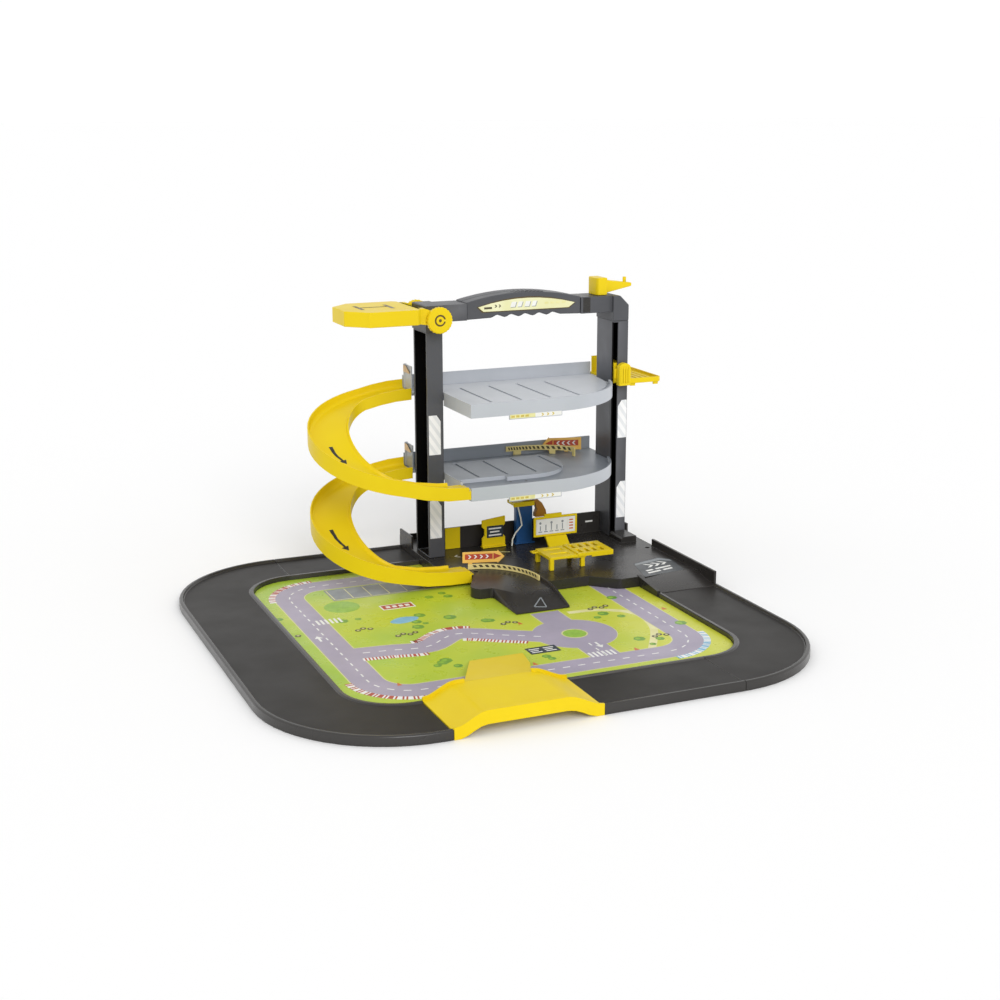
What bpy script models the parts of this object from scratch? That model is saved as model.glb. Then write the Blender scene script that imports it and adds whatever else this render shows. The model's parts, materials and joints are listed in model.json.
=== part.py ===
"""A toy garage: a road ring round a play mat, two towers, two decks, spiral ramps and a lift.

Sizes are in millimetres and become metres where a mesh is made. X runs along the garage front,
Y runs to the back and Z is up. The origin is on the floor, at the middle of the road ring.
"""
import math

import bmesh
import bpy
from mathutils import Matrix, Vector

MM = 0.001
gap = 0.3                      # clearance between neighbours that touch or are clipped together
slide_gap = 0.5                # clearance of pieces that slide or swing
pin_play = 0.1                 # clearance of a pin in its running hole

# Road ring and play mat
ring_half = 350.0              # middle of the ring to its outer edge
ring_corner = 165.0            # outer corner radius
open_left = -246.5             # edges of the opening inside the road
open_right = 257.5
open_front = -251.0
open_back = 265.5
open_corner = 64.0             # corner radius of the opening
rim_top = 12.0                 # height of the outer rim
inner_rim_top = 9.8            # height of the rim round the opening
rim_wide = 5.0
road_top = 8.5                 # height of the road surface
ring_wall = 2.5                # wall of the ring's moulding
ring_drop = 6.0                # depth of the joint tongues below the road
tongue_long = 14.0             # how far a joint tongue reaches under the next section
tongue_wide = 24.0
corner_steps = 14
seam_left_x = -180.0           # joint between the left and the back section
seam_right_x = 185.5           # joint between the front and the right section
mat_thick = 3.6

# Bridge over the front of the ring
bridge_left = -174.0
bridge_right = 4.0
bridge_flat_left = -135.0      # ends of the level top
bridge_flat_right = -40.0
bridge_steps = 5               # stations on each slope
bridge_road_end = 9.5          # road height at the two ends
bridge_road_mid = 24.0         # road height on the level top
bridge_curb = 4.0
bridge_skin = 2.5
bridge_apron = 12.0            # depth of the side wall below the road
mouth_left = -123.5            # ramp down to the mat: where it leaves the bridge
mouth_right = -41.0
tongue_mid_left = -102.0       # the ramp's sides on the way down
tongue_mid_right = -21.0
tongue_mid_y = -205.0
tongue_tip_left = -73.0        # the ramp's foot
tongue_tip_right = -3.0
tongue_foot_y = -143.0
tongue_foot_thick = 1.2

# Base platform
base_top = 18.0
base_skin = 2.5
base_left = 14.0
base_front = 73.0              # front edge between the ramp and the chamfer
base_front_right = 42.0        # front edge beside the wing
notch_x = 46.0                 # notch for the end of the lower spiral
notch_front = 137.0
notch_back = 181.0
nose_left = 24.0               # rounded nose beside the ramp
nose_low = 76.0
ramp_left = 50.0
ramp_right = 127.0
ramp_top_left = 70.0           # left end of the ramp's upper edge
ramp_top_y = 42.0
ramp_foot_y = -4.0
ramp_foot = 5.4                # height of the ramp's lip
rail_wide = 3.0
rail_high = 4.0
chamfer_left = 193.0           # chamfer between the two front edges
chamfer_right = 222.0
wing_left = 256.0
wing_end_y = -10.0
wing_wall = 4.0
wing_wall_top = 28.5
wing_wall_back = 173.0
back_curb_top = 27.0
post_y = 255.0                 # front end of the low wall beside the lift
post_top = 32.0
back_wall_y = 277.0            # wall between the towers
back_wall_top = 50.0
back_wall_thick = 3.0
stop_top = 37.0                # end stop behind the left tower
step_high = 9.0                # buffer block in front of the right tower
step_deep = 38.0
step_left = 2.0                # how far it reaches past the tower
step_corner = 3.0
hole_radius = 3.5

# Towers
tower_front = 242.0
tower_deep = 54.0
tower_wide = 24.0
tower_top = 345.0
tower_wall = 2.5
left_tower_x = 21.0
right_tower_x = 313.3
side_slot_front = 4.0          # tower front to the slot in its outer side
side_slot_wide = 46.0
front_slot_wide = 7.6          # slot at the front corner of the right tower
front_slot_deep = 5.0          # how far it runs back into the tower's side
slot_end = 2.0                 # closed length at the slot's two ends
ledge_long = 8.0               # ledges that carry the decks
ledge_high = 5.0
ledge_wide = 30.0

# Decks
deck_lower_top = 137.0
deck_upper_top = 253.0
deck_floor = 2.5
deck_front = 139.0
deck_back = 337.0
deck_round_x = 175.0           # centre of the rounded end
deck_round_y = 275.0
deck_lane_left = 17.3
deck_lane_right = 322.0
rim_thick = 3.0
rim_rise = 6.0
back_rise = 18.5
skirt_drop = 13.0
round_steps = 16
island_rise = 5.7              # raised parking area of a deck
island_step_x = 118.0          # lower deck: where its front edge steps forward
island_front_left = 192.0
island_front = 183.0
island_back = 298.0
island_turn_x = 165.0          # where its rounded end starts
island_right = 231.0
island_turn_y = 258.0
island_right_upper = 302.0     # upper deck: right end of the raised area
groove_wide = 4.0              # lines between the parking bays
groove_deep = 2.0
groove_first_x = 78.2
groove_pitch = 44.5
groove_front_upper = 150.0
groove_back_upper = 270.0
groove_front_lower = 197.0
groove_back_lower = 291.0
groove_count = 4
tab_left = 102.0               # label strip on a deck's front edge
tab_right = 182.0
tab_low = 19.0
tab_high = 11.0
tab_thick = 1.5

# Spiral ramps
spiral_x = -53.0               # centre of the half turn
spiral_inner_x = 40.0          # inner edge, half width along X
track_wall = 2.0
track_floor = 2.0
track_rise = 12.5              # outer wall above the floor
track_rise_end = 5.5           # the same, at the lower end
track_rise_in = 5.0            # inner lip above the floor
track_fillet = 5.0             # how far the floor curves up beside the wall and the lip
track_end_in = 20.0            # how much sooner the inner lip and the outer wall end
track_end_out = 3.0
track_skirt = 11.5             # wall below the floor
track_lip = 4.0                # tongue of the floor that rests on the deck or the platform
track_lip_thick = 1.2
fall_upper = 1.04              # how much sooner than its run each spiral ends its fall
fall_lower = 1.10
end_lip = 0.6                  # what stays of the lip and the wall past their ends
turn_steps = 24
run_steps = 3
fillet_steps = 3
track_lane = 41.0              # width of the track at its ends

# Lane gates on the decks
gate_thick = 2.0
gate_high = 35.0
gate_hub = 2.6
gate_pin = 1.2
gate_pin_high = 30.0
gate_short = 7.0               # the leaf's free end stops short of the tower, clear of the spiral's lip

# Carrying handle and tower caps
cap_top = 382.0
cap_proud = 1.2
cap_chamfer = 14.0
cap_arm_bottom = 358.0
left_arm_end = 84.0
right_arm_end = 262.0
handle_deep = 42.0
handle_rise = 11.0             # arch of the handle above its ends
handle_end_top = 383.0
handle_bottom = 358.5
grip_rise = 4.0
grip_count = 5
grip_left = 121.0
grip_right = 230.0
handle_wall = 3.0
handle_end_wall = 11.0         # solid length at the handle's two ends
badge_left = 101.0
badge_right = 252.0
badge_low = 368.8
badge_peak = 1.5               # height of its middle as a share of the flat part beside it
badge_end = 0.6                # the same at its two ends
badge_thick = 1.0
screw_radius = 3.0
screw_head = 1.2
screw_count = 3

# Helipad
pad_left = -98.0
pad_right = 5.0
pad_deep = 110.0
pad_chamfer = 28.0             # at the two left corners
pad_chamfer_hinge = 6.0        # at the two corners beside the hinge
pad_low = 360.0
pad_top = 381.0
pad_skin = 2.5
pad_mark_deep = 1.0
mark_half = 25.0               # landing mark, from its middle to the outer edge of a leg
mark_leg = 6.0
mark_long = 44.0
mark_bar = 4.5
hinge_x = 33.0
hinge_z = 364.0
hinge_pin = 4.0
arm_thick = 15.0
arm_half = 9.0
arm_root = 9.0                 # full height of the arm beside the pad
arm_hub = 14.0
disc_radius = 18.8
disc_thick = 5.5
disc_teeth = 24
disc_tooth = 0.9

# Crane
crane_x = 300.5
crane_pin = 4.0
crane_stem = 12.0              # depth of the pin's hole, in the cap and in the crane
crane_low = 0.5                # running gap between the crane and the cap
crane_high = 25.0
crane_back = 10.0              # body around the swivel
crane_front = 7.0
crane_wide = 16.0
boom_tip = 52.5
boom_tip_low = 10.0
boom_tip_high = 15.0
boom_tip_wide = 5.0
peg_back = 9.5                 # boom's tip to the middle of the peg
peg_radius = 2.6
peg_high = 10.5

# Lift on the right tower
lift_floor_z = 255.0           # floor of the lift at the upper deck
lift_floor = 2.5
lift_wide = 54.2               # from the tower to the outer edge
lift_front = 238.0
lift_back = 342.0
lift_lip = 4.0
lift_wall_high = 24.0
lift_wall = 2.0
lift_wall_left = 327.0
lift_wall_end = 20.0           # the back wall stops short of the outer edge
lift_corner = 4.0             # chamfer at the outer front corner
carrier_left = 314.5           # plate behind the knob, which carries the lift platform
carrier_thick = 2.0
carrier_low = 5.0              # carrier above the lift floor
carrier_high = 15.0
lift_foot_high = 5.0
lift_foot_wide = 8.0
knob_high = 33.5
knob_wide = 19.0
knob_x = 327.0
knob_thick = 10.0
knob_ribs = 5
slider_high = 30.0
slider_arm_high = 12.0

# Service area on the platform
sign_x = 129.0
sign_y = 261.0
sign_wide = 37.0
sign_high = 46.0
sign_thick = 3.0
sign_waist = 4.0
sign_foot_deep = 10.0
wall_panel_left = 58.5
wall_panel_right = 82.0
wall_panel_thick = 1.2
pump_x = 179.0
pump_y = 266.0
pump_wide = 26.0
pump_deep = 12.0
pump_high = 61.0
pump_plinth = 2.0
canopy_left = 157.0
canopy_right = 191.0
canopy_front = 250.0
canopy_back = 275.0
canopy_thick = 5.0
nozzle_left = 186.0            # arm beside the canopy
nozzle_reach = 28.0
nozzle_low = 57.5
nozzle_thick = 10.0
pipe_radius = 1.2
board_x = 217.0
board_y = 232.0
board_wide = 70.0
board_low = 33.5
board_high = 30.0
board_frame = 3.0
board_thick = 3.0
board_panel = 1.0
stand_wide = 34.0
stand_thick = 3.0
stand_lean = 14.0
table_left = 154.0
table_split = 197.0
table_right = 253.0
table_front = 115.0
table_back = 167.0
table_top = 37.0
table_thick = 3.5
table_leg = 6.0
table_slots = 4
tray_rise = 1.5                # slotted tray above the table
tray_lip = 7.0
fence_high = 7.5
fence_thick = 2.0
fence_left = 50.5
fence_y = 168.0
fence_right = 122.0
fence_end_y = 80.0
fence_steps = 12
arrow_long = 60.0
arrow_high = 16.0
arrow_high_deck = 19.0
arrow_thick = 1.6
arrow_point = 10.0
arrow_turn = -15.0             # how far the arrow signs turn to follow their fences
arrow_ground_x = 46.0
arrow_ground_y = 177.0
arrow_ground_low = 7.5         # arrow above the surface it stands on
arrow_deck_x = 240.0
arrow_deck_y = 330.5
arrow_deck_low = 3.0
deck_fence_left = 180.0
deck_fence_lift = 6.0          # band above the deck's lane, on short posts
deck_fence_posts = (0, 5, 10)  # stations of the posts along the band
deck_fence_right = 274.0
deck_fence_front = 285.0

# Places that follow from the sizes above
mat_top = mat_thick
tower_back = tower_front + tower_deep
tower_mid_y = tower_front + tower_deep / 2
left_tower_in = left_tower_x + tower_wide
right_tower_out = right_tower_x + tower_wide
tower_low = base_top + gap
deck_left = left_tower_in + gap
deck_right = right_tower_x - gap
deck_radius = deck_right - deck_round_x
spiral_y = (deck_back + deck_front) / 2
spiral_radius = (deck_back - deck_front) / 2
spiral_inner_y = spiral_radius - track_lane
cap_low = tower_top + gap
lift_right = right_tower_out + slide_gap + lift_wide


def material(name, colour, rough, metallic=0.0):
    """Return a Principled material with one colour."""
    mat = bpy.data.materials.get(name) or bpy.data.materials.new(name)
    mat.use_nodes = True
    shader = mat.node_tree.nodes["Principled BSDF"]
    shader.inputs["Base Color"].default_value = (*colour, 1.0)
    shader.inputs["Roughness"].default_value = rough
    shader.inputs["Metallic"].default_value = metallic
    mat.diffuse_color = (*colour, 1.0)
    return mat


def charcoal():
    return material("charcoal_plastic", (0.045, 0.042, 0.040), 0.38)


def tower_grey():
    return material("tower_plastic", (0.115, 0.115, 0.125), 0.40)


def yellow():
    return material("yellow_plastic", (0.84, 0.62, 0.012), 0.33)


def deck_grey():
    return material("deck_plastic", (0.36, 0.39, 0.42), 0.40)


def new_object(name, mesh, mat):
    """Link an object for a mesh and give it its material."""
    obj = bpy.data.objects.new(name, mesh)
    obj.data.materials.append(mat)
    bpy.context.scene.collection.objects.link(obj)
    return obj


def finish(name, bm, mat, smooth=False):
    """Turn a bmesh in millimetres into an object in metres."""
    bmesh.ops.recalc_face_normals(bm, faces=bm.faces)
    bmesh.ops.scale(bm, vec=(MM, MM, MM), verts=bm.verts)
    mesh = bpy.data.meshes.new(name)
    bm.to_mesh(mesh)
    bm.free()
    if smooth:
        mesh.shade_smooth()
        mesh.set_sharp_from_angle(angle=math.radians(35))
    return new_object(name, mesh, mat)


def box_into(bm, low, high):
    """Add a closed box between two corners."""
    size = Vector(high) - Vector(low)
    place = Matrix.Translation((Vector(high) + Vector(low)) / 2) @ Matrix.Diagonal((*size, 1.0))
    bmesh.ops.create_cube(bm, size=1.0, matrix=place)


def box(name, low, high, mat):
    bm = bmesh.new()
    box_into(bm, low, high)
    return finish(name, bm, mat)


def turn_axis(axis):
    """Matrix that turns +Z to the named axis."""
    turns = {"Z": Matrix.Identity(4), "Y": Matrix.Rotation(math.radians(-90), 4, "X"),
             "X": Matrix.Rotation(math.radians(90), 4, "Y")}
    return turns[axis]


def rod(name, start, length, radius, axis, mat, steps=20):
    """Round bar from a start point along +X, +Y or +Z."""
    bm = bmesh.new()
    place = Matrix.Translation(Vector(start)) @ turn_axis(axis) @ Matrix.Translation((0, 0, length / 2))
    bmesh.ops.create_cone(bm, cap_ends=True, segments=steps, radius1=radius, radius2=radius,
                          depth=length, matrix=place)
    return finish(name, bm, mat, smooth=True)


def prism(name, outline, low, high, plane, mat, smooth=False):
    """Extrude a flat outline. The plane is XY, XZ or YZ, and low to high is along the third axis."""
    def at(point, level):
        a, b = point
        return {"XY": (a, b, level), "XZ": (a, level, b), "YZ": (level, a, b)}[plane]
    bm = bmesh.new()
    bottom = [bm.verts.new(at(p, low)) for p in outline]
    top = [bm.verts.new(at(p, high)) for p in outline]
    bm.faces.new(bottom)
    bm.faces.new(top)
    for i in range(len(outline)):
        j = (i + 1) % len(outline)
        bm.faces.new((bottom[i], bottom[j], top[j], top[i]))
    return finish(name, bm, mat, smooth)


def loft(name, rings, mat, closed=False, smooth=False):
    """Skin a list of rings of points. Open lofts get flat ends."""
    bm = bmesh.new()
    rows = [[bm.verts.new(p) for p in ring] for ring in rings]
    count = len(rows[0])
    last = len(rows) if closed else len(rows) - 1
    for r in range(last):
        row, following = rows[r], rows[(r + 1) % len(rows)]
        for i in range(count):
            j = (i + 1) % count
            bm.faces.new((row[i], row[j], following[j], following[i]))
    if not closed:
        bm.faces.new(rows[0])
        bm.faces.new(rows[-1])
    return finish(name, bm, mat, smooth)


def boolean(obj, tool, operation):
    """Cut with, or join, another object, which then stays hidden as a guide."""
    step = obj.modifiers.new(operation.lower() + "_" + tool.name, "BOOLEAN")
    step.operation = operation
    step.solver = "EXACT"
    step.object = tool
    tool.hide_render = True
    tool.display_type = "WIRE"
    return obj


def cut(obj, *tools):
    for tool in tools:
        boolean(obj, tool, "DIFFERENCE")
    return obj


def join(obj, *tools):
    for tool in tools:
        boolean(obj, tool, "UNION")
    return obj


def cutter(obj):
    """Mark an object that was made only to shape another."""
    obj.hide_render = True
    obj.display_type = "WIRE"
    return obj


def arc(cx, cy, radius_x, radius_y, start, end, steps):
    """Points on an elliptical arc, angles in degrees."""
    points = []
    for i in range(steps + 1):
        angle = math.radians(start + (end - start) * i / steps)
        points.append((cx + radius_x * math.cos(angle), cy + radius_y * math.sin(angle)))
    return points


def inset(outline, distance):
    """Move every edge of an outline inwards. The outline runs anticlockwise."""
    count = len(outline)
    moved = []
    for i in range(count):
        before, here, after = (Vector(outline[(i + k) % count]) for k in (-1, 0, 1))
        first = (here - before).normalized()
        second = (after - here).normalized()
        normal_1 = Vector((-first.y, first.x))
        normal_2 = Vector((-second.y, second.x))
        middle = normal_1 + normal_2
        moved.append(tuple(here + middle * (distance / (1.0 + normal_1.dot(normal_2)))))
    return moved


def pivot(name, place, *pieces):
    """An empty on a joint's axis, which carries the pieces that move with it."""
    empty = bpy.data.objects.new(name, None)
    empty.location = Vector(place) * MM
    bpy.context.scene.collection.objects.link(empty)
    for piece in pieces:
        piece.parent = empty
        piece.matrix_parent_inverse = Matrix.Translation(Vector(place) * -MM)
    return empty


def clear_scene():
    for obj in list(bpy.data.objects):
        bpy.data.objects.remove(obj, do_unlink=True)


def open_centre(side_x, side_y):
    """Centre of one rounded corner of the opening. Sides are -1 for left or front, and 1."""
    x = open_left + open_corner if side_x < 0 else open_right - open_corner
    y = open_front + open_corner if side_y < 0 else open_back - open_corner
    return x, y


def corner_pairs(side_x, side_y, start):
    """Outer and inner points round one corner of the ring, a quarter turn from a start angle."""
    centre_out = ring_half - ring_corner
    centre_in = open_centre(side_x, side_y)
    trim = math.degrees(math.asin(max(0.0, abs(centre_in[0]) - centre_out) / ring_corner))
    low_trim = trim if start in (90, 270) else 0.0
    outer = arc(side_x * centre_out, side_y * centre_out, ring_corner, ring_corner,
                start + low_trim, start + 90 - (trim - low_trim), corner_steps)
    inner = arc(*centre_in, open_corner, open_corner, start, start + 90, corner_steps)
    return list(zip(outer, inner))


def ring_profile(outer, inner):
    """Cross section of the road from its outer to its inner edge."""
    out_point, in_point = Vector(outer), Vector(inner)
    across = (in_point - out_point).normalized()
    width = (in_point - out_point).length
    under = road_top - ring_wall
    steps = [(0, 0), (0, rim_top - 1.5), (1.5, rim_top), (rim_wide, rim_top), (rim_wide + 1, road_top),
             (width - rim_wide - 1, road_top), (width - rim_wide, inner_rim_top), (width - 1, inner_rim_top),
             (width, inner_rim_top - 1), (width, 0),
             (width - ring_wall, 0), (width - ring_wall, under), (ring_wall, under), (ring_wall, 0)]
    return [(*(out_point + across * t), z) for t, z in steps]


def ring_section(name, pairs):
    return loft(name, [ring_profile(a, b) for a, b in pairs], charcoal(), smooth=True)


def ring_tongue(name, seam_x, middle_y):
    """Tongue under the road, which reaches below the next section, and its root in this one."""
    under = road_top - ring_wall
    floor = under - ring_drop + gap
    front = middle_y - tongue_wide / 2
    back = middle_y + tongue_wide / 2
    start = seam_x - tongue_long
    tip = box(name, (start, front, floor), (seam_x + tongue_long, back, under - gap), charcoal())
    root = box(name + "_root", (start, front, floor), (seam_x - 2, back, under + 1), charcoal())
    return tip, root


def build_ring():
    """Four road sections with joint tongues."""
    half_gap = gap / 2
    mid_back = (ring_half + open_back) / 2
    mid_front = (-ring_half + open_front) / 2
    left = [((bridge_left - gap, -ring_half), (bridge_left - gap, open_front))]
    left += corner_pairs(-1, -1, 180)[::-1]
    left += corner_pairs(-1, 1, 90)[::-1]
    left += [((seam_left_x - half_gap, ring_half), (seam_left_x - half_gap, open_back))]
    ring_left = ring_section("ring_left", left)
    join(ring_left, *ring_tongue("ring_left_tongue", seam_left_x, mid_back))

    back = [((x, ring_half), (x, open_back)) for x in (seam_left_x + half_gap, base_left - gap)]
    ring_section("ring_back", back)

    front = [((x, -ring_half), (x, open_front)) for x in (bridge_right + gap, seam_right_x - half_gap)]
    ring_front = ring_section("ring_front", front)
    join(ring_front, *ring_tongue("ring_front_tongue", seam_right_x, mid_front))

    right = [((seam_right_x + half_gap, -ring_half), (seam_right_x + half_gap, open_front))]
    right += corner_pairs(1, -1, 270)
    right += [((ring_half, wing_end_y - gap), (open_right, wing_end_y - gap))]
    ring_section("ring_right", right)


def build_mat():
    """Flat board that fills the opening of the ring."""
    corner = open_corner - gap
    outline = []
    for side_x, side_y, start in ((1, -1, 270), (1, 1, 0), (-1, 1, 90), (-1, -1, 180)):
        outline += arc(*open_centre(side_x, side_y), corner, corner, start, start + 90, 8)
    board = material("printed_board", (0.50, 0.60, 0.03), 0.30)
    prism("play_mat", outline, 0.0, mat_top, "XY", board)


def bridge_level(x):
    """Road height on the bridge at a place along X."""
    if x <= bridge_flat_left:
        share = (x - bridge_left) / (bridge_flat_left - bridge_left)
    elif x >= bridge_flat_right:
        share = (bridge_right - x) / (bridge_right - bridge_flat_right)
    else:
        share = 1.0
    smooth_share = share * share * (3 - 2 * share)
    return bridge_road_end + (bridge_road_mid - bridge_road_end) * smooth_share


def bridge_stations():
    shares = [i / bridge_steps for i in range(bridge_steps + 1)]
    left = [bridge_left + (bridge_flat_left - bridge_left) * share for share in shares]
    right = [bridge_flat_right + (bridge_right - bridge_flat_right) * share for share in shares]
    return left + right


def bridge_strip(name, low_y, high_y, below, above):
    """A strip along the bridge that follows its height."""
    rings = []
    for x in bridge_stations():
        level = bridge_level(x)
        bottom = max(below(level), 0.0)
        rings.append([(x, low_y, bottom), (x, low_y, level + above), (x, high_y, level + above),
                      (x, high_y, bottom)])
    return loft(name, rings, yellow())


def build_bridge():
    """Arched road bridge with side walls and a ramp down to the mat."""
    edge = -ring_half
    inner = open_front
    road = bridge_strip("bridge", edge + 1, inner - 1, lambda z: z - bridge_skin, 0.0)
    front_wall = bridge_strip("bridge_front_wall", edge, edge + bridge_skin,
                              lambda z: z - bridge_apron, bridge_curb)
    back_wall = bridge_strip("bridge_back_wall", inner - bridge_skin, inner,
                             lambda z: z - bridge_apron, bridge_curb)
    opening = cutter(box("bridge_ramp_mouth", (mouth_left, inner - bridge_skin - 1, bridge_road_mid),
                         (mouth_right, inner + 1, bridge_road_mid + bridge_curb + 2), yellow()))
    cut(back_wall, opening)
    start_y = inner - 1
    foot_z = mat_top + gap + tongue_foot_thick
    share = (tongue_mid_y - start_y) / (tongue_foot_y - start_y)
    mid_z = bridge_road_mid + (foot_z - bridge_road_mid) * share
    rings = []
    for y, low_x, high_x, z in ((start_y, mouth_left, mouth_right, bridge_road_mid),
                                (tongue_mid_y, tongue_mid_left, tongue_mid_right, mid_z),
                                (tongue_foot_y, tongue_tip_left, tongue_tip_right, foot_z)):
        bottom = max(z - bridge_skin, mat_top + gap)
        rings.append([(low_x, y, bottom), (high_x, y, bottom), (high_x, y, z), (low_x, y, z)])
    ramp = loft("bridge_ramp", rings, yellow())
    join(road, front_wall, back_wall, ramp)


def base_outline():
    """Outline of the platform without its two ramps, anticlockwise from the left back corner."""
    return [(base_left, ring_half), (base_left, notch_back), (notch_x, notch_back), (notch_x, notch_front),
            (nose_left + 2, nose_low + 22), (nose_left, nose_low + 14), (nose_left + 2, nose_low + 6),
            (nose_left + 8, nose_low), (ramp_left - 3, nose_low), (ramp_left, base_front),
            (chamfer_left, base_front), (chamfer_right, base_front_right + 3),
            (chamfer_right + 8, base_front_right), (wing_left, base_front_right),
            (ring_half, base_front_right), (ring_half, ring_half)]


def build_base():
    """Platform shell with ramp, wing, curbs and the wall between the towers."""
    low = mat_top + gap
    outline = base_outline()
    base = prism("platform", outline, low, base_top, "XY", charcoal())
    hollow = prism("platform_hollow", inset(outline, base_skin), low - 5, base_top - base_skin, "XY",
                   charcoal())
    cut(base, hollow)

    back = base_front + 2
    ramp = hull("ramp_solid", [(ramp_left, back, low), (ramp_left, back, base_top),
                               (ramp_right, back, low), (ramp_right, back, base_top),
                               (ramp_top_left, ramp_top_y, base_top), (ramp_right, ramp_top_y, base_top),
                               (ramp_left, ramp_foot_y, low), (ramp_left, ramp_foot_y, ramp_foot),
                               (ramp_right, ramp_foot_y, low), (ramp_right, ramp_foot_y, ramp_foot)],
                charcoal())
    inner_y = ramp_foot_y + 16
    ramp_hollow = prism("ramp_hollow", [(back + 1, low - 5), (inner_y, low - 5), (inner_y, low + 2.5),
                                        (ramp_top_y, base_top - base_skin), (back + 1, base_top - base_skin)],
                        ramp_top_left, ramp_right - base_skin, "YZ", charcoal())
    rail = prism("ramp_rail", [(base_front + 18, base_top - 1), (ramp_top_y, base_top - 1.5),
                               (ramp_foot_y + 1, ramp_foot - 0.6),
                               (ramp_foot_y + 1, ramp_foot + rail_high / 2),
                               (ramp_top_y, base_top + rail_high - 1), (base_front, base_top + rail_high),
                               (base_front + 18, base_top + rail_high)],
                 ramp_right - rail_wide, ramp_right + 0.5, "YZ", charcoal())
    wing_foot = road_top + 0.5
    wing = prism("wing_solid", [(base_front_right + 2, low), (wing_end_y, low), (wing_end_y, wing_foot),
                                (base_front_right, base_top), (base_front_right + 2, base_top)],
                 wing_left, ring_half, "YZ", charcoal())
    wing_hollow = prism("wing_hollow", [(base_front_right + 3, low - 5), (wing_end_y - 1, low - 5),
                                        (wing_end_y - 1, wing_foot - base_skin),
                                        (base_front_right, base_top - base_skin),
                                        (base_front_right + 3, base_top - base_skin)],
                        wing_left + base_skin, ring_half - base_skin, "YZ", charcoal())
    join(base, ramp, wing)
    cut(base, ramp_hollow, wing_hollow)

    right_skirt = box("right_skirt", (ring_half - base_skin, wing_end_y, 0),
                      (ring_half, ring_half - 0.5, low + 2), charcoal())
    back_skirt = box("back_skirt", (base_left + 0.5, ring_half - base_skin, 0),
                     (ring_half - 0.5, ring_half, low + 2), charcoal())
    wall_start = wing_end_y + 3
    wing_wall_piece = box("wing_wall", (ring_half - wing_wall, wall_start, low + 1),
                          (ring_half, wing_wall_back, wing_wall_top), charcoal())
    wing_rim = prism("wing_rim", [(wing_end_y, low + 1), (base_front_right + 6, low + 1),
                                  (base_front_right + 6, base_top + 1), (wing_end_y, rim_top)],
                     wing_left - 0.5, wing_left + rim_wide, "YZ", charcoal())
    side_post = box("lift_side_wall", (ring_half - wing_wall, post_y, base_top - 1),
                    (ring_half, ring_half - 1, post_top), charcoal())
    back_curb = box("back_curb", (base_left, ring_half - rim_thick, base_top - 1),
                    (ring_half - 1, ring_half, back_curb_top), charcoal())
    middle_wall = box("middle_wall", (left_tower_in + gap, back_wall_y, base_top - 1),
                      (right_tower_x - gap, back_wall_y + back_wall_thick, back_wall_top), charcoal())
    stop = box("lane_stop", (base_left, tower_back + gap + 2, base_top - 1),
               (base_left + rim_thick, ring_half - 1, stop_top), charcoal())
    block_left = right_tower_x - step_left
    block_top = base_top + step_high
    buffer = prism("buffer_block", [(block_left, base_top - 1), (right_tower_out, base_top - 1),
                                    (right_tower_out, block_top), (block_left + step_corner, block_top),
                                    (block_left, block_top - step_corner)],
                   tower_front - gap - step_deep, tower_front - gap, "XZ", charcoal())
    join(base, rail, right_skirt, back_skirt, wing_wall_piece, wing_rim, side_post, back_curb,
         middle_wall, stop, buffer)
    socket = cutter(rod("socket_bore", (ring_half - 14, wing_wall_back - 6, base_top - 6), 12, hole_radius,
                        "Z", charcoal()))
    peg_bore = cutter(rod("fence_bore", (fence_left + 7, fence_y - 13, base_top - 6), 12, hole_radius, "Z",
                          charcoal()))
    cut(base, socket, peg_bore)


def build_wall_panel():
    """Yellow board on the wall between the towers."""
    face = back_wall_y - gap
    box("wall_panel", (wall_panel_left, face - wall_panel_thick, base_top + gap),
        (wall_panel_right, face, back_wall_top), yellow())


def tower_ledges(tower, face_x, direction):
    """Ledges on a tower's inner face, one under each deck."""
    for name, level in (("lower", deck_lower_top), ("upper", deck_upper_top)):
        top = level - deck_floor - gap
        far = face_x + direction * ledge_long
        near = face_x - direction * (tower_wall - 0.5)
        ledge = box(tower.name + "_ledge_" + name,
                    (min(near, far), tower_mid_y - ledge_wide / 2, top - ledge_high),
                    (max(near, far), tower_mid_y + ledge_wide / 2, top), tower_grey())
        join(tower, ledge)


def build_tower(name, x, slot_low, slot_high, inner_face, direction):
    """Box tube with one tall slot, given by two corners, and ledges for the decks."""
    tower = box(name, (x, tower_front, tower_low), (x + tower_wide, tower_back, tower_top), tower_grey())
    bore = box(name + "_bore", (x + tower_wall, tower_front + tower_wall, tower_low - 1),
               (x + tower_wide - tower_wall, tower_back - tower_wall, tower_top + 1), tower_grey())
    slot = box(name + "_slot", (*slot_low, tower_low + slot_end), (*slot_high, tower_top - slot_end),
               tower_grey())
    cut(tower, bore, slot)
    tower_ledges(tower, inner_face, direction)
    return tower


def build_towers():
    side = tower_front + side_slot_front
    build_tower("left_tower", left_tower_x, (left_tower_x - 1, side),
                (left_tower_x + tower_wall + 1, side + side_slot_wide), left_tower_in, 1)
    build_tower("right_tower", right_tower_x, (right_tower_x - 1, tower_front - 1),
                (right_tower_x + front_slot_wide, tower_front + front_slot_deep), right_tower_x, -1)


def deck_outline():
    """Plan of a deck: a round right end, and lanes behind both towers. Anticlockwise."""
    end_angle = math.degrees(math.asin((tower_front - gap - deck_round_y) / deck_radius))
    curve = arc(deck_round_x, deck_round_y, deck_radius, deck_round_y - deck_front, -90, end_angle,
                round_steps)
    left_lane = tower_back + gap
    return ([(deck_left, deck_front)] + curve
            + [(curve[-1][0], tower_front - gap), (deck_right, tower_front - gap), (deck_right, left_lane),
               (deck_lane_right, left_lane), (deck_lane_right, deck_back), (deck_lane_left, deck_back),
               (deck_lane_left, left_lane), (deck_left, left_lane)])


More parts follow.
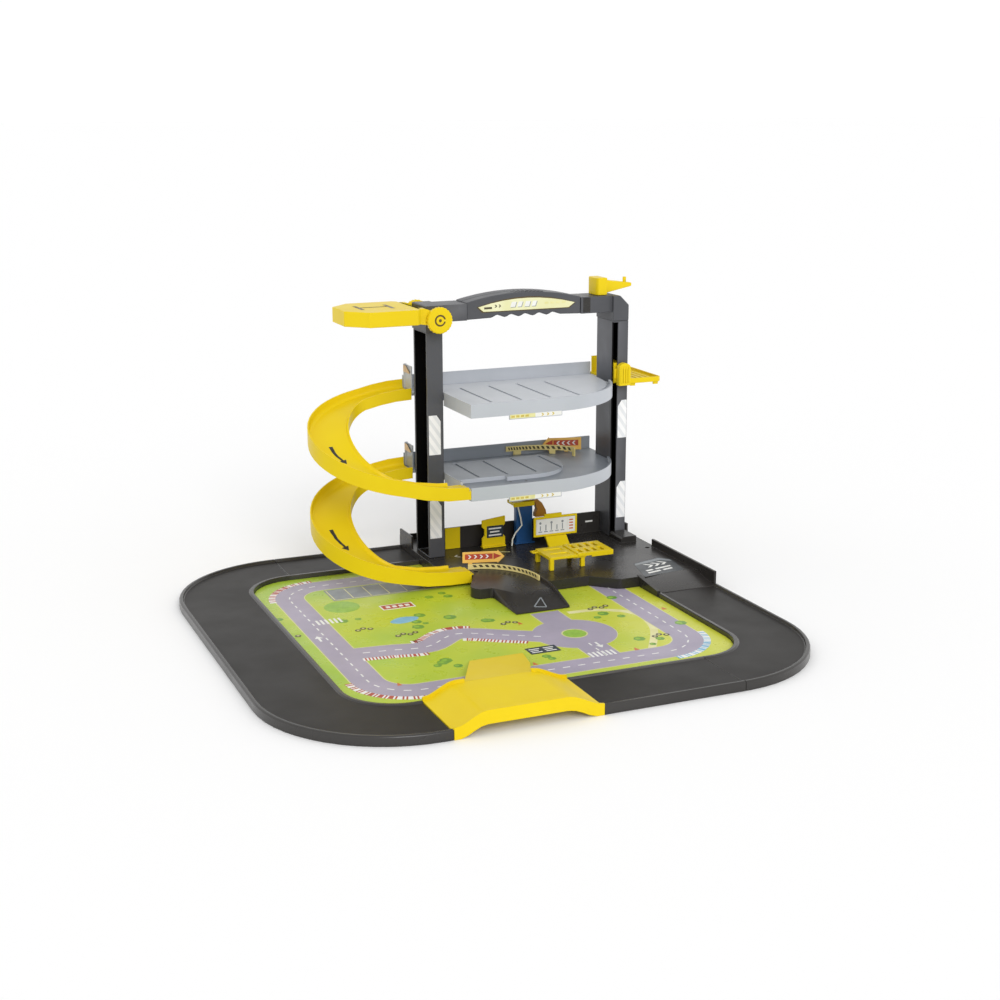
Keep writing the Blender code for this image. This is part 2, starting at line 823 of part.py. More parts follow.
def deck_edge():
    """The front edge of a deck, from its left tower round to its right tower."""
    end_angle = math.degrees(math.asin((tower_front - gap - deck_round_y) / deck_radius))
    curve = arc(deck_round_x, deck_round_y, deck_radius, deck_round_y - deck_front, -90, end_angle,
                round_steps)
    return [(deck_left, tower_front - gap), (deck_left, deck_front)] + curve


def hull(name, points, mat):
    """Convex body round a set of points."""
    bm = bmesh.new()
    for point in points:
        bm.verts.new(point)
    done = bmesh.ops.convex_hull(bm, input=bm.verts)
    unused = [g for g in done["geom_unused"] + done["geom_interior"] if isinstance(g, bmesh.types.BMVert)]
    bmesh.ops.delete(bm, geom=unused, context="VERTS")
    return finish(name, bm, mat)


def wall_along(name, points, thick, low, high, mat):
    """Upright wall of even thickness along a line, inside the line's left hand."""
    inner = []
    for i, point in enumerate(points):
        here = Vector(point)
        before = Vector(points[max(i - 1, 0)])
        after = Vector(points[min(i + 1, len(points) - 1)])
        first = (here - before).normalized() if i else (after - here).normalized()
        second = (after - here).normalized() if i < len(points) - 1 else first
        normal_1 = Vector((-first.y, first.x))
        normal_2 = Vector((-second.y, second.x))
        inner.append(here + (normal_1 + normal_2) * (thick / (1.0 + normal_1.dot(normal_2))))
    rings = [[(*p, low), (*p, high), (*q, high), (*q, low)] for p, q in zip(points, inner)]
    return loft(name, rings, mat)


def grooves(name, top, low_y, high_y, count):
    """One cutter for each line between the parking bays."""
    cutters = []
    for i in range(count):
        x = groove_first_x + groove_pitch * i
        cutters.append(cutter(box(f"{name}_groove_{i}", (x, low_y, top - groove_deep),
                                  (x + groove_wide, high_y, top + 2), deck_grey())))
    return cutters


def island_outline(full):
    """Plan of a deck's raised area. The full one reaches the front and the left rim."""
    left = deck_left + rim_thick / 2
    if full:
        front = deck_front + rim_thick / 2
        end = arc(deck_round_x, deck_round_y, island_right_upper - deck_round_x, deck_round_y - front,
                  -90, 0, round_steps)
        return [(left, front)] + end + [(island_right_upper, island_back), (left, island_back)]
    end = arc(island_turn_x, island_turn_y, island_right - island_turn_x, island_turn_y - island_front,
              -90, 30, round_steps)
    return ([(left, island_front_left), (island_step_x, island_front_left), (island_step_x, island_front)]
            + end + [(end[-1][0] - 4, island_back), (left, island_back)])


def build_deck(name, top, entry):
    """Deck with a floor, a rim, a skirt and marked bays. An entry is a gap in the left rim."""
    grey = deck_grey()
    deck = prism(name, inset(deck_outline(), 0.4), top - deck_floor, top, "XY", grey)
    edge = wall_along(name + "_edge", deck_edge(), rim_thick, top - skirt_drop, top + rim_rise, grey)
    back = box(name + "_back", (deck_lane_left, deck_back - rim_thick, top - skirt_drop),
               (deck_lane_right, deck_back, top + back_rise), grey)
    tab = box(name + "_tab", (tab_left, deck_front, top - tab_low),
              (tab_right, deck_front + tab_thick, top - tab_high), grey)
    island = prism(name + "_island", island_outline(not entry), top - 1, top + island_rise, "XY", grey)
    join(deck, edge, back, tab, island)
    if entry:
        lane = box(name + "_entry", (deck_left - 2, deck_front + track_wall, top),
                   (deck_left + rim_thick + 1, deck_front + track_lane - track_wall,
                    top + rim_rise + 2), grey)
        cut(deck, lane)
        bays = grooves(name, top + island_rise, groove_front_lower, groove_back_lower, groove_count)
    else:
        bays = grooves(name, top + island_rise, groove_front_upper, groove_back_upper, groove_count)
    cut(deck, *bays)


def track_plan(start_x, end_x):
    """Outer and inner edge of a spiral, from its start behind the tower to its end in front."""
    pairs = []
    for i in range(run_steps):
        x = start_x + (spiral_x - start_x) * i / run_steps
        pairs.append(((x, spiral_y + spiral_radius), (x, spiral_y + spiral_inner_y)))
    outer = arc(spiral_x, spiral_y, spiral_radius, spiral_radius, 90, 270, turn_steps)
    inner = arc(spiral_x, spiral_y, spiral_inner_x, spiral_inner_y, 90, 270, turn_steps)
    pairs += list(zip(outer, inner))
    for i in range(1, run_steps + 1):
        x = spiral_x + (end_x - spiral_x) * i / run_steps
        pairs.append(((x, spiral_y - spiral_radius), (x, spiral_y - spiral_inner_y)))
    return pairs


def track_heights(pairs, start, end, haste):
    """Floor height at each station: level at both ends and steepest in the turn."""
    middle = [(Vector(a) + Vector(b)) / 2 for a, b in pairs]
    along = [0.0]
    for before, here in zip(middle, middle[1:]):
        along.append(along[-1] + (here - before).length)
    heights = []
    for s in along:
        t = min(1.0, haste * s / along[-1])
        heights.append(start + (end - start) * t * t * (3 - 2 * t))
    return heights, [s / along[-1] for s in along]


def build_spiral(name, start_z, end_z, haste):
    """Channel that turns half a circle while it falls one storey."""
    pairs = track_plan(deck_lane_left - gap, deck_left - gap)
    heights, shares = track_heights(pairs, start_z, end_z, haste)
    rings = []
    for (outer, inner), z, share in zip(pairs, heights, shares):
        rise = track_rise + (track_rise_end - track_rise) * max(0.0, share - 0.6) / 0.4
        out_point = Vector(outer)
        across = (Vector(inner) - out_point).normalized()
        width = (Vector(inner) - out_point).length
        foot = track_wall + track_fillet
        curve = arc(foot, track_fillet, track_fillet, track_fillet, 180, 270, fillet_steps)
        steps = [(0, -track_skirt), (0, rise), (track_wall, rise), *curve, (width - foot, 0),
                 (width - track_wall - track_fillet * 0.3, track_rise_in * 0.35),
                 (width - track_wall, track_rise_in), (width, track_rise_in), (width, -track_skirt),
                 (width - track_wall, -track_skirt), (width - track_wall, -track_floor),
                 (track_wall, -track_floor), (track_wall, -track_skirt)]
        rings.append([(*(out_point + across * t), z + dz) for t, dz in steps])
    track = loft(name, rings, yellow(), smooth=True)
    (end_x, front_y), (_, back_y) = pairs[-1]
    for side, run, low_y, high_y in (("inner", track_end_in, back_y - foot - 0.5, back_y + 1),
                                     ("outer", track_end_out, front_y - 1, front_y + foot + 0.5)):
        cut(track, box(f"{name}_{side}_end", (end_x - run, low_y, end_z + end_lip),
                       (end_x + 1, high_y, end_z + track_rise), yellow()))
    lip = box(name + "_lip", (end_x - 4, front_y + track_wall + 1, end_z - track_lip_thick),
              (end_x + track_lip, back_y - track_wall - 1, end_z), yellow())
    return join(track, lip)


def build_spirals():
    rest = gap + track_lip_thick
    build_spiral("spiral_upper", deck_upper_top, deck_lower_top + rest, fall_upper)
    build_spiral("spiral_lower", deck_lower_top, base_top + rest, fall_lower)


def build_gate(storey, top):
    """Swinging gate across the lane behind the left tower, on an upright pin."""
    grey = deck_grey()
    pin_x = deck_lane_left + gate_hub + gap
    pin_y = deck_back - rim_thick - gate_hub - gap
    low = top + slide_gap
    hub = rod(f"gate_{storey}", (pin_x, pin_y, low), gate_high, gate_hub, "Z", grey)
    leaf = box(f"gate_{storey}_leaf", (pin_x - gate_thick / 2, tower_back + gate_short, low),
               (pin_x + gate_thick / 2, pin_y, low + gate_high), grey)
    bore = rod(f"gate_{storey}_bore", (pin_x, pin_y, low - 1), gate_high + 2, gate_pin + pin_play,
               "Z", grey)
    join(hub, leaf)
    cut(hub, bore)
    steel = material("zinc_steel", (0.55, 0.55, 0.56), 0.3, 1.0)
    rod(f"gate_{storey}_pin", (pin_x, pin_y, top + gap), gate_pin_high, gate_pin, "Z", steel, steps=12)
    pivot(f"gate_{storey}_axis", (pin_x, pin_y, top), hub)


def build_caps():
    """Caps that close the towers and hold the ends of the handle."""
    grey = tower_grey()
    front = tower_front - cap_proud
    back = tower_back + cap_proud
    arm_front = tower_mid_y - handle_deep / 2 - cap_proud
    arm_back = tower_mid_y + handle_deep / 2 + cap_proud
    left_out = left_tower_x - cap_proud
    right_out = right_tower_out
    left = prism("left_cap", [(left_out, cap_low), (left_tower_in + cap_proud, cap_low),
                              (left_tower_in + cap_proud, cap_top), (left_out + cap_proud, cap_top),
                              (left_out, cap_top - cap_proud)], front, back, "XZ", grey)
    left_arm = box("left_cap_arm", (left_tower_in - 4, arm_front, cap_arm_bottom),
                   (left_arm_end, arm_back, cap_top - 0.5), grey)
    right = prism("right_cap", [(right_tower_x - cap_proud, cap_low), (right_out, cap_low),
                                (right_out, cap_top - cap_chamfer), (right_out - cap_chamfer, cap_top),
                                (right_tower_x - cap_proud, cap_top)], front, back, "XZ", grey)
    right_arm = box("right_cap_arm", (right_arm_end, arm_front, cap_arm_bottom),
                    (right_tower_x + 4, arm_back, cap_top), grey)
    join(left, left_arm)
    join(right, right_arm)
    bore = rod("hinge_bore", (hinge_x, front - 1, hinge_z), back - front + 2, hinge_pin + pin_play, "Y",
               grey, steps=24)
    cut(left, bore)
    crane_bore = rod("crane_bore", (crane_x, tower_mid_y, cap_top - crane_stem), crane_stem + 1,
                     crane_pin + pin_play, "Z", grey, steps=24)
    cut(right, crane_bore)


def handle_outline():
    """Side view of the handle: an arched top, and finger hollows below."""
    left = left_arm_end + gap
    right = right_arm_end - gap
    points = [(left, handle_bottom)]
    steps = 6 * grip_count
    for i in range(steps + 1):
        x = grip_left + (grip_right - grip_left) * i / steps
        wave = (1 - math.cos(2 * math.pi * grip_count * i / steps)) / 2
        points.append((x, handle_bottom + 1 + grip_rise * wave))
    points.append((right, handle_bottom))
    middle = (left + right) / 2
    half = (right - left) / 2
    for i in range(13):
        x = right - (right - left) * i / 12
        points.append((x, handle_end_top + handle_rise * (1 - ((x - middle) / half) ** 2)))
    return points


def build_handle():
    """Front and rear half of the handle, a badge in front and screws behind."""
    grey = tower_grey()
    front = tower_mid_y - handle_deep / 2
    back = tower_mid_y + handle_deep / 2
    outline = handle_outline()
    front_half = prism("handle_front", outline, front, tower_mid_y - gap / 2, "XZ", grey)
    rear_half = prism("handle_rear", outline, tower_mid_y + gap / 2, back, "XZ", grey)
    pocket_low = handle_bottom + 1 + grip_rise + handle_wall
    for half, start, end in ((front_half, front + handle_wall, tower_mid_y + 1),
                             (rear_half, tower_mid_y - 1, back - handle_wall)):
        cut(half, box(half.name + "_pocket", (left_arm_end + gap + handle_end_wall, start, pocket_low),
                      (right_arm_end - gap - handle_end_wall, end, handle_end_top - handle_wall), grey))
    rise = handle_end_top - handle_wall - badge_low
    middle = (badge_left + badge_right) / 2
    half_long = (badge_right - badge_left) / 2
    face = [(badge_left + 8, badge_low), (badge_right - 10, badge_low)]
    for i in range(9):
        x = badge_right - (badge_right - badge_left) * i / 8
        bow = abs((x - middle) / half_long) ** 2
        face.append((x, badge_low + rise * (badge_peak - (badge_peak - badge_end) * bow)))
    cream = material("cream_label", (0.72, 0.69, 0.22), 0.4)
    prism("handle_badge", face, front - gap - badge_thick, front - gap, "XZ", cream)
    steel = material("zinc_steel", (0.55, 0.55, 0.56), 0.3, 1.0)
    for i in range(screw_count):
        x = left_arm_end + (right_arm_end - left_arm_end) * (i + 1) / (screw_count + 1)
        rod(f"handle_screw_{i + 1}", (x, back + gap, (badge_low + handle_end_top) / 2), screw_head,
            screw_radius, "Y", steel, steps=14)


def toothed(cx, cz, radius, tooth, teeth):
    """Outline of a knurled disc."""
    points = []
    for i in range(teeth * 2):
        r = radius - (tooth if i % 2 else 0.0)
        angle = 2 * math.pi * i / (teeth * 2)
        points.append((cx + r * math.cos(angle), cz + r * math.sin(angle)))
    return points


def build_helipad():
    """Eight sided pad on a fork that turns on a pin through the left cap."""
    gold = yellow()
    front = tower_mid_y - pad_deep / 2
    back = tower_mid_y + pad_deep / 2
    c = pad_chamfer
    h = pad_chamfer_hinge
    outline = [(pad_left + c, front), (pad_right - h, front), (pad_right, front + h), (pad_right, back - h),
               (pad_right - h, back), (pad_left + c, back), (pad_left, back - c), (pad_left, front + c)]
    pad = prism("helipad", outline, pad_low, pad_top, "XY", gold)
    hollow = prism("helipad_hollow", inset(outline, pad_skin), pad_low - 1, pad_top - pad_skin, "XY", gold)
    cut(pad, hollow)
    cap_front = tower_front - cap_proud
    cap_back = tower_back + cap_proud
    for side, low, high in (("front", cap_front - slide_gap - arm_thick, cap_front - slide_gap),
                            ("rear", cap_back + slide_gap, cap_back + slide_gap + arm_thick)):
        arm_side = [(pad_right - 4, pad_low + 0.5), (hinge_x, hinge_z - arm_half),
                    (hinge_x, hinge_z + arm_half), (pad_right + arm_root, pad_top - 0.3),
                    (pad_right - 4, pad_top - 0.3)]
        arm = prism("helipad_arm_" + side, arm_side, low, high, "XZ", gold)
        hub = rod("helipad_hub_" + side, (hinge_x, low, hinge_z), arm_thick, arm_hub, "Y", gold, steps=24)
        join(pad, arm, hub)
    bore = rod("helipad_bore", (hinge_x, front - 30, hinge_z), pad_deep + 60, hinge_pin + gap, "Y", gold,
               steps=24)
    middle_x = (pad_left + pad_right) / 2
    low = pad_top - pad_mark_deep
    high = pad_top + 2
    marks = [box("mark_bar", (middle_x - mark_half + 1, tower_mid_y - mark_bar / 2, low),
                 (middle_x + mark_half - 1, tower_mid_y + mark_bar / 2, high), gold)]
    for i, x in enumerate((middle_x - mark_half, middle_x + mark_half - mark_leg)):
        marks.append(box(f"mark_leg_{i}", (x, tower_mid_y - mark_long / 2, low),
                         (x + mark_leg, tower_mid_y + mark_long / 2, high), gold))
    cut(pad, bore, *marks)
    pin_low = cap_front - slide_gap - arm_thick
    pin_high = cap_back + slide_gap + arm_thick
    pin = rod("helipad_pin", (hinge_x, pin_low, hinge_z), pin_high - pin_low, hinge_pin, "Y",
              material("zinc_steel", (0.55, 0.55, 0.56), 0.3, 1.0), steps=24)
    face = toothed(hinge_x, hinge_z, disc_radius, disc_tooth, disc_teeth)
    disc_front = prism("helipad_disc_front", face, pin_low - gap - disc_thick, pin_low - gap, "XZ", gold)
    disc_rear = prism("helipad_disc_rear", face, pin_high + gap, pin_high + gap + disc_thick, "XZ", gold)
    pivot("helipad_axis", (hinge_x, tower_mid_y, hinge_z), pad, pin, disc_front, disc_rear)


def build_crane():
    """Crane arm that swivels on an upright pin in the right cap."""
    gold = yellow()
    low = cap_top + crane_low
    high = low + crane_high
    y = tower_mid_y
    left = crane_x - crane_back
    right = crane_x + crane_front
    body = prism("crane_boom", [(left + 3, y - crane_wide), (right, y - crane_wide), (right, y + crane_wide),
                                (left + 3, y + crane_wide), (left, y + crane_wide - 5),
                                (left, y - crane_wide + 5)], low, high, "XY", gold)
    root = crane_x + crane_front - 2
    tip = crane_x + boom_tip
    rings = []
    for x, half, bottom, top in ((root, crane_wide - 4, low + 2, high - 4),
                                 (tip, boom_tip_wide, low + boom_tip_low, low + boom_tip_high)):
        rings.append([(x, y - half, bottom), (x, y + half, bottom), (x, y + half, top), (x, y - half, top)])
    boom = loft("crane_taper", rings, gold)
    peg = rod("crane_peg", (tip - peg_back, y, low + boom_tip_high - 2), peg_high, peg_radius, "Z", gold,
              steps=14)
    join(body, boom, peg)
    bore = rod("crane_body_bore", (crane_x, y, low - 1), crane_stem + 1, crane_pin + gap, "Z", gold, steps=24)
    cut(body, bore)
    pin_low = cap_top - crane_stem + gap
    pin_high = low + crane_stem - gap
    pin = rod("crane_pin", (crane_x, y, pin_low), pin_high - pin_low, crane_pin, "Z", gold, steps=24)
    pivot("crane_axis", (crane_x, y, low), body, pin)


def build_lift():
    """Slider in the right tower, a knob on its front, and the lift platform at its side."""
    gold = yellow()
    wall = tower_wall + slide_gap
    inner_left = right_tower_x + wall
    inner_right = right_tower_out - wall
    inner_front = tower_front + wall
    inner_back = tower_back - wall
    low = lift_floor_z - lift_floor
    slider = box("lift_slider", (inner_left, inner_front, low), (inner_right, inner_back, low + slider_high),
                 gold)
    arm_low = low + 2
    arm_high = arm_low + slider_arm_high
    front_arm = box("slider_front_arm", (inner_left, tower_front - slide_gap, arm_low),
                    (right_tower_x + front_slot_wide - slide_gap, inner_front + 1, arm_high), gold)
    join(slider, front_arm)
    carrier_back = tower_front - slide_gap
    carrier_front = carrier_back - carrier_thick
    knob_back = carrier_front - gap
    knob_front = knob_back - knob_thick
    radius = knob_wide / 2
    knob_low = lift_floor_z - 4.5
    profile = [(knob_x - radius, knob_low), (knob_x + radius, knob_low)]
    profile += arc(knob_x, knob_low + knob_high - radius * 0.8, radius, radius * 0.8, 0, 180, 10)
    knob = prism("lift_knob", profile, knob_front, knob_back, "XZ", gold)
    for i in range(knob_ribs):
        x = knob_x - radius + 2 * radius * (i + 1) / (knob_ribs + 1)
        groove = box(f"lift_knob_groove_{i}", (x - 0.7, knob_front - 1, knob_low + 4),
                     (x + 0.7, knob_front + 0.8, knob_low + knob_high - 9), gold)
        cut(knob, groove)
    cab_left = right_tower_out + slide_gap
    lane_front = tower_back + slide_gap
    lane_left = deck_lane_right + slide_gap
    c = lift_corner
    outline = [(cab_left, lift_front), (lift_right - c, lift_front), (lift_right, lift_front + c),
               (lift_right, lift_back), (lane_left, lift_back), (lane_left, lane_front),
               (cab_left, lane_front)]
    cab = prism("lift_cab", outline, low, lift_floor_z, "XY", gold)
    outer_lip = wall_along("lift_cab_lip", outline[:4], lift_wall, low - 1, lift_floor_z + lift_lip, gold)
    back_wall = box("lift_cab_back", (lift_wall_left, lift_back - lift_wall, low),
                    (lift_right - lift_wall_end, lift_back, lift_floor_z + lift_wall_high), gold)
    carrier = box("lift_carrier", (carrier_left, carrier_front, lift_floor_z + carrier_low),
                  (cab_left + lift_wall, carrier_back, lift_floor_z + carrier_low + carrier_high), gold)
    carrier_top = lift_floor_z + carrier_low + carrier_high
    side = [(carrier_front, low), (carrier_back + 26, low), (carrier_back + 26, low + 4),
            (carrier_back, carrier_top - 6), (carrier_front, carrier_top)]
    gusset = prism("lift_gusset", side, cab_left, cab_left + lift_wall, "YZ", gold)
    join(cab, outer_lip, back_wall, carrier, gusset)
    for i, x in enumerate((cab_left + 4, lift_right - c - lift_foot_wide)):
        foot = box(f"lift_cab_foot_{i}", (x, lift_front + 2, low - lift_foot_high),
                   (x + lift_foot_wide, lift_front + 4.5, low + 1), gold)
        join(cab, foot)
    middle = right_tower_x + tower_wide / 2
    pivot("lift_axis", (middle, tower_mid_y, lift_floor_z), slider, knob, cab)


def arrow_sign(name, x, y, low, high, points_right, mat):
    """Flat arrow shaped sign, turned a little about its left end."""
    top = low + high
    box_left, tip = (x, x + arrow_long) if points_right else (x + arrow_long, x)
    neck = tip - arrow_point if points_right else tip + arrow_point
    sign = prism(name, [(box_left, low), (neck, low), (neck, low - 2), (tip, low + high / 2),
                        (neck, top + 2), (neck, top), (box_left, top)], y - arrow_thick, y, "XZ", mat)
    return turned(sign, x, y)


def turned(obj, x, y):
    """Turn a mesh about an upright line, by the angle of the arrow signs."""
    place = Matrix.Translation(Vector((x, y, 0)) * MM)
    obj.data.transform(place @ Matrix.Rotation(math.radians(arrow_turn), 4, "Z") @ place.inverted())
    return obj


def build_fences():
    """Striped guide fences with arrow signs, on the platform and on the lower deck."""
    cream = material("cream_fence", (0.80, 0.70, 0.42), 0.4)
    orange = material("orange_sign", (0.78, 0.28, 0.08), 0.4)
    low = base_top + gap
    ground = arc(fence_left, fence_end_y, fence_right - fence_left, fence_y - fence_end_y, 0, 90, fence_steps)
    wall_along("fence_ground", ground, fence_thick, low, low + fence_high, cream)
    x, y = arrow_ground_x, arrow_ground_y
    sign = arrow_sign("arrow_ground", x, y, low + arrow_ground_low, arrow_high, True, orange)
    post = box("arrow_ground_post", (x + 8, y - arrow_thick, low), (x + 14, y, low + arrow_ground_low + 1),
               orange)
    join(sign, turned(post, x, y))
    level = deck_lower_top + gap
    back = deck_back - rim_thick - 2 * gap
    deck_curve = arc(deck_fence_left, deck_fence_front, deck_fence_right - deck_fence_left,
                     back - deck_fence_front, 0, 90, fence_steps)
    band_low = level + deck_fence_lift
    band = wall_along("fence_deck", deck_curve, fence_thick, band_low, band_low + fence_high, cream)
    for i in deck_fence_posts:
        join(band, wall_along(f"fence_deck_post_{i}", deck_curve[i:i + 2], fence_thick, level, band_low + 1,
                              cream))
    x, y = arrow_deck_x, arrow_deck_y
    sign = arrow_sign("arrow_deck", x, y, level + arrow_deck_low, arrow_high_deck, False, orange)
    post = box("arrow_deck_post", (x + 34, y - arrow_thick, level), (x + 40, y, level + arrow_deck_low + 1),
               orange)
    join(sign, turned(post, x, y))


def build_sign():
    """Upright notice board on a foot."""
    gold = yellow()
    low = base_top + gap
    half = sign_wide / 2
    waist = half - sign_waist
    outline = [(sign_x - half, low), (sign_x + half, low), (sign_x + half, low + 14),
               (sign_x + waist, low + 19), (sign_x + waist, low + 30), (sign_x + half, low + 34),
               (sign_x + half, low + sign_high), (sign_x - half, low + sign_high - 4),
               (sign_x - half, low + 32), (sign_x - waist, low + 28), (sign_x - waist, low + 19),
               (sign_x - half, low + 14)]
    board = prism("notice_board", outline, sign_y - sign_thick / 2, sign_y + sign_thick / 2, "XZ", gold)
    foot = box("notice_foot", (sign_x - half, sign_y - sign_foot_deep / 2, low),
               (sign_x + half, sign_y + sign_foot_deep / 2, low + 2.5), gold)
    join(board, foot)


def tube(name, points, radius, mat, resolution=3):
    """Bent rod through hand placed points."""
    curve = bpy.data.curves.new(name, "CURVE")
    curve.dimensions = "3D"
    curve.bevel_depth = radius * MM
    curve.bevel_resolution = resolution
    curve.use_fill_caps = True
    line = curve.splines.new("POLY")
    line.points.add(len(points) - 1)
    for slot, point in zip(line.points, points):
        slot.co = (*(Vector(point) * MM), 1.0)
    return new_object(name, curve, mat)


def build_pump():
    """Fuel pump: a blue column, a yellow canopy, a swinging arm and a bent pipe."""
    low = base_top + gap
    blue = material("blue_plastic", (0.015, 0.09, 0.30), 0.35)
    column = box("pump_column", (pump_x - pump_wide / 2, pump_y - pump_deep / 2, low),
                 (pump_x + pump_wide / 2, pump_y + pump_deep / 2 - 2, low + pump_high), blue)
    plinth = box("pump_plinth", (pump_x - pump_wide / 2 - 3, pump_y - pump_deep / 2 - 3, low),
                 (pump_x + pump_wide / 2 + 3, pump_y + pump_deep / 2 - 1.5, low + pump_plinth), blue)
    join(column, plinth)
    top = low + pump_high + gap
    canopy = box("pump_canopy", (canopy_left, canopy_front, top),
                 (canopy_right, canopy_back, top + canopy_thick), yellow())
    lip = box("pump_canopy_lip", (canopy_left, canopy_front, top - 2),
              (canopy_right, canopy_front + 2, top + 1), yellow())
    join(canopy, lip)
    ochre = material("ochre_plastic", (0.60, 0.33, 0.06), 0.4)
    left = nozzle_left
    right = left + nozzle_reach
    high = top + canopy_thick
    arm_low = top + canopy_thick + gap
    outline = [(left - 8, arm_low), (left + 6, arm_low), (left + 10, high - 10), (left + 12, high - 15),
               (left + 9, nozzle_low + 5), (left + 9, nozzle_low), (right, nozzle_low),
               (right - 2, nozzle_low + 10), (right - 8, high - 6), (right - 16, high + 1),
               (left - 1, high + 4), (left - 8, high + 4)]
    prism("pump_arm", outline, canopy_front + 6, canopy_front + 6 + nozzle_thick, "XZ", ochre)
    white = material("white_plastic", (0.8, 0.8, 0.78), 0.35)
    pipe_y = canopy_front + pipe_radius + 3
    start_x = canopy_left + 8
    tube("pump_pipe", [(start_x, pipe_y, top - gap), (start_x + 5, pipe_y, low + 42),
                       (start_x + 7, pipe_y, low + 30), (start_x - 4, pipe_y, low + 18),
                       (start_x - 8, pipe_y, low + 10), (start_x - 9, pipe_y, low)], pipe_radius, white,
         resolution=2)


def build_board():
    """Tool board: a yellow frame with a white panel, on a leaning stand."""
    gold = yellow()
    left = board_x - board_wide / 2
    right = board_x + board_wide / 2
    top = board_low + board_high
    frame = box("tool_board", (left, board_y, board_low), (right, board_y + board_thick, top), gold)
    hook = box("tool_board_top", (board_x - 18, board_y, top - 1),
               (board_x + 10, board_y + board_thick, top + 4), gold)
    recess = box("tool_board_recess", (left + board_frame, board_y - 1, board_low + board_frame),
                 (right - board_frame, board_y + board_panel + gap, top - board_frame), gold)
    join(frame, hook)
    cut(frame, recess)
    white = material("white_plastic", (0.8, 0.8, 0.78), 0.35)
    box("tool_panel", (left + board_frame + gap, board_y, board_low + board_frame + gap),
        (right - board_frame - gap, board_y + board_panel, top - board_frame - gap), white)
    low = base_top + gap
    foot_y = board_y - stand_lean
    back_y = board_y + board_thick
    high = board_low - gap
    outline = [(foot_y, low), (foot_y + stand_thick, low), (board_y, high - 3), (back_y, high - 3),
               (back_y, high), (board_y - 1, high), (foot_y, low + 3)]
    prism("tool_stand", outline, board_x - stand_wide / 2, board_x + stand_wide / 2, "YZ", gold)


def build_table():
    """Car lift: a table with legs, and a slotted tray that rests on the table's bearer."""
    gold = yellow()
    low = base_top + gap
    under = table_top - table_thick
    table = box("service_table", (table_left, table_front, under), (table_split, table_back, table_top), gold)
    bearer = box("table_bearer", (table_split - 6, table_front + 2, under - 2),
                 (table_split + 14, table_back - 2, under), gold)
    parts = [bearer]
    for i, (x, shift) in enumerate(((table_left, 0), (table_split + 6, 2))):
        for k, y in enumerate((table_front + shift, table_back - table_leg - shift)):
            parts.append(box(f"table_leg_{i}{k}", (x, y, low), (x + table_leg, y + table_leg, under), gold))
    legs_top = box("table_leg_top", (table_left, table_front, under - 1),
                   (table_left + table_leg, table_back, under + 1), gold)
    join(table, *parts, legs_top)
    deep = table_back - table_front
    wells = []
    for i, y in enumerate((table_front + deep * 0.16, table_front + deep * 0.58)):
        wells.append(box(f"table_well_{i}", (table_left + 8, y, table_top - 1.2),
                         (table_split - 8, y + deep * 0.24, table_top + 1), gold))
    cut(table, *wells)
    loop_y = table_back - 12
    loop = box("table_loop", (table_left - 9, loop_y, under), (table_left + 1, loop_y + 10, under + 2), gold)
    loop_hole = box("table_loop_hole", (table_left - 7, loop_y + 2, under - 1),
                    (table_left - 2, loop_y + 8, under + 3), gold)
    cut(loop, loop_hole)
    join(table, loop)
    tray_low = under + gap
    tray_top = table_top + tray_rise
    tray = box("service_tray", (table_split + gap, table_front, tray_low),
               (table_right, table_back, tray_top), gold)
    pitch = (table_right - table_split - 10) / table_slots
    slots = []
    for i in range(table_slots):
        x = table_split + 6 + pitch * i
        for k, y in enumerate((table_front + deep * 0.12, table_front + deep * 0.56)):
            slots.append(box(f"tray_slot_{i}{k}", (x, y, tray_low - 1),
                             (x + pitch * 0.45, y + deep * 0.32, tray_top + 1), gold))
    cut(tray, *slots)
    lip = box("tray_lip", (table_split + 22, table_front, tray_top - tray_lip),
              (table_right, table_front + 2, tray_top - 1), gold)
    join(tray, lip)


def main():
    clear_scene()
    build_ring()
    build_mat()
    build_bridge()
    build_base()
    build_wall_panel()
    build_towers()
    build_deck("deck_lower", deck_lower_top, True)
    build_deck("deck_upper", deck_upper_top, False)
    build_spirals()
    build_gate("lower", deck_lower_top)
    build_gate("upper", deck_upper_top)
    build_caps()
    build_handle()
    build_helipad()
    build_crane()
    build_lift()
    build_fences()
    build_sign()
    build_pump()
    build_board()
    build_table()


main()
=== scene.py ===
import json
import math
import random

import bmesh
import bpy
from mathutils import Matrix, Vector
from mathutils.bvhtree import BVHTree


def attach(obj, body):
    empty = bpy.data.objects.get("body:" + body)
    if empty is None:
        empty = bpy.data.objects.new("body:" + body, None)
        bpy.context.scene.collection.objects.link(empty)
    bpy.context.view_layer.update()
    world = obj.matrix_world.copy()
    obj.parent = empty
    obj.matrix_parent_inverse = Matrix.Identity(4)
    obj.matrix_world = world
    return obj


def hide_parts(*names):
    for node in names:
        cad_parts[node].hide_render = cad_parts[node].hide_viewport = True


# Toy parking garage: the looks of its moulded plastic, its printed films and its steel, with light
# and camera. Lengths are in mm, and become metres where a mesh or a pattern is made.
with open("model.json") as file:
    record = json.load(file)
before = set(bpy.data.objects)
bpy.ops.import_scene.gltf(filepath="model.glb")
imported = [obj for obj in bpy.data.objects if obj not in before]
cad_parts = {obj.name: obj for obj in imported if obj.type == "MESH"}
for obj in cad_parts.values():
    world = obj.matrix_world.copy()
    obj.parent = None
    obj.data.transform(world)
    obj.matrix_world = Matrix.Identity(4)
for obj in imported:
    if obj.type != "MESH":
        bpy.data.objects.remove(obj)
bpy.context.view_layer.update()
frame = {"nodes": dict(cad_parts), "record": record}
mm = 0.001
perMetre = 1000
nodes = frame["nodes"]
bodies = frame["record"]["behaviour"]["bodies"]
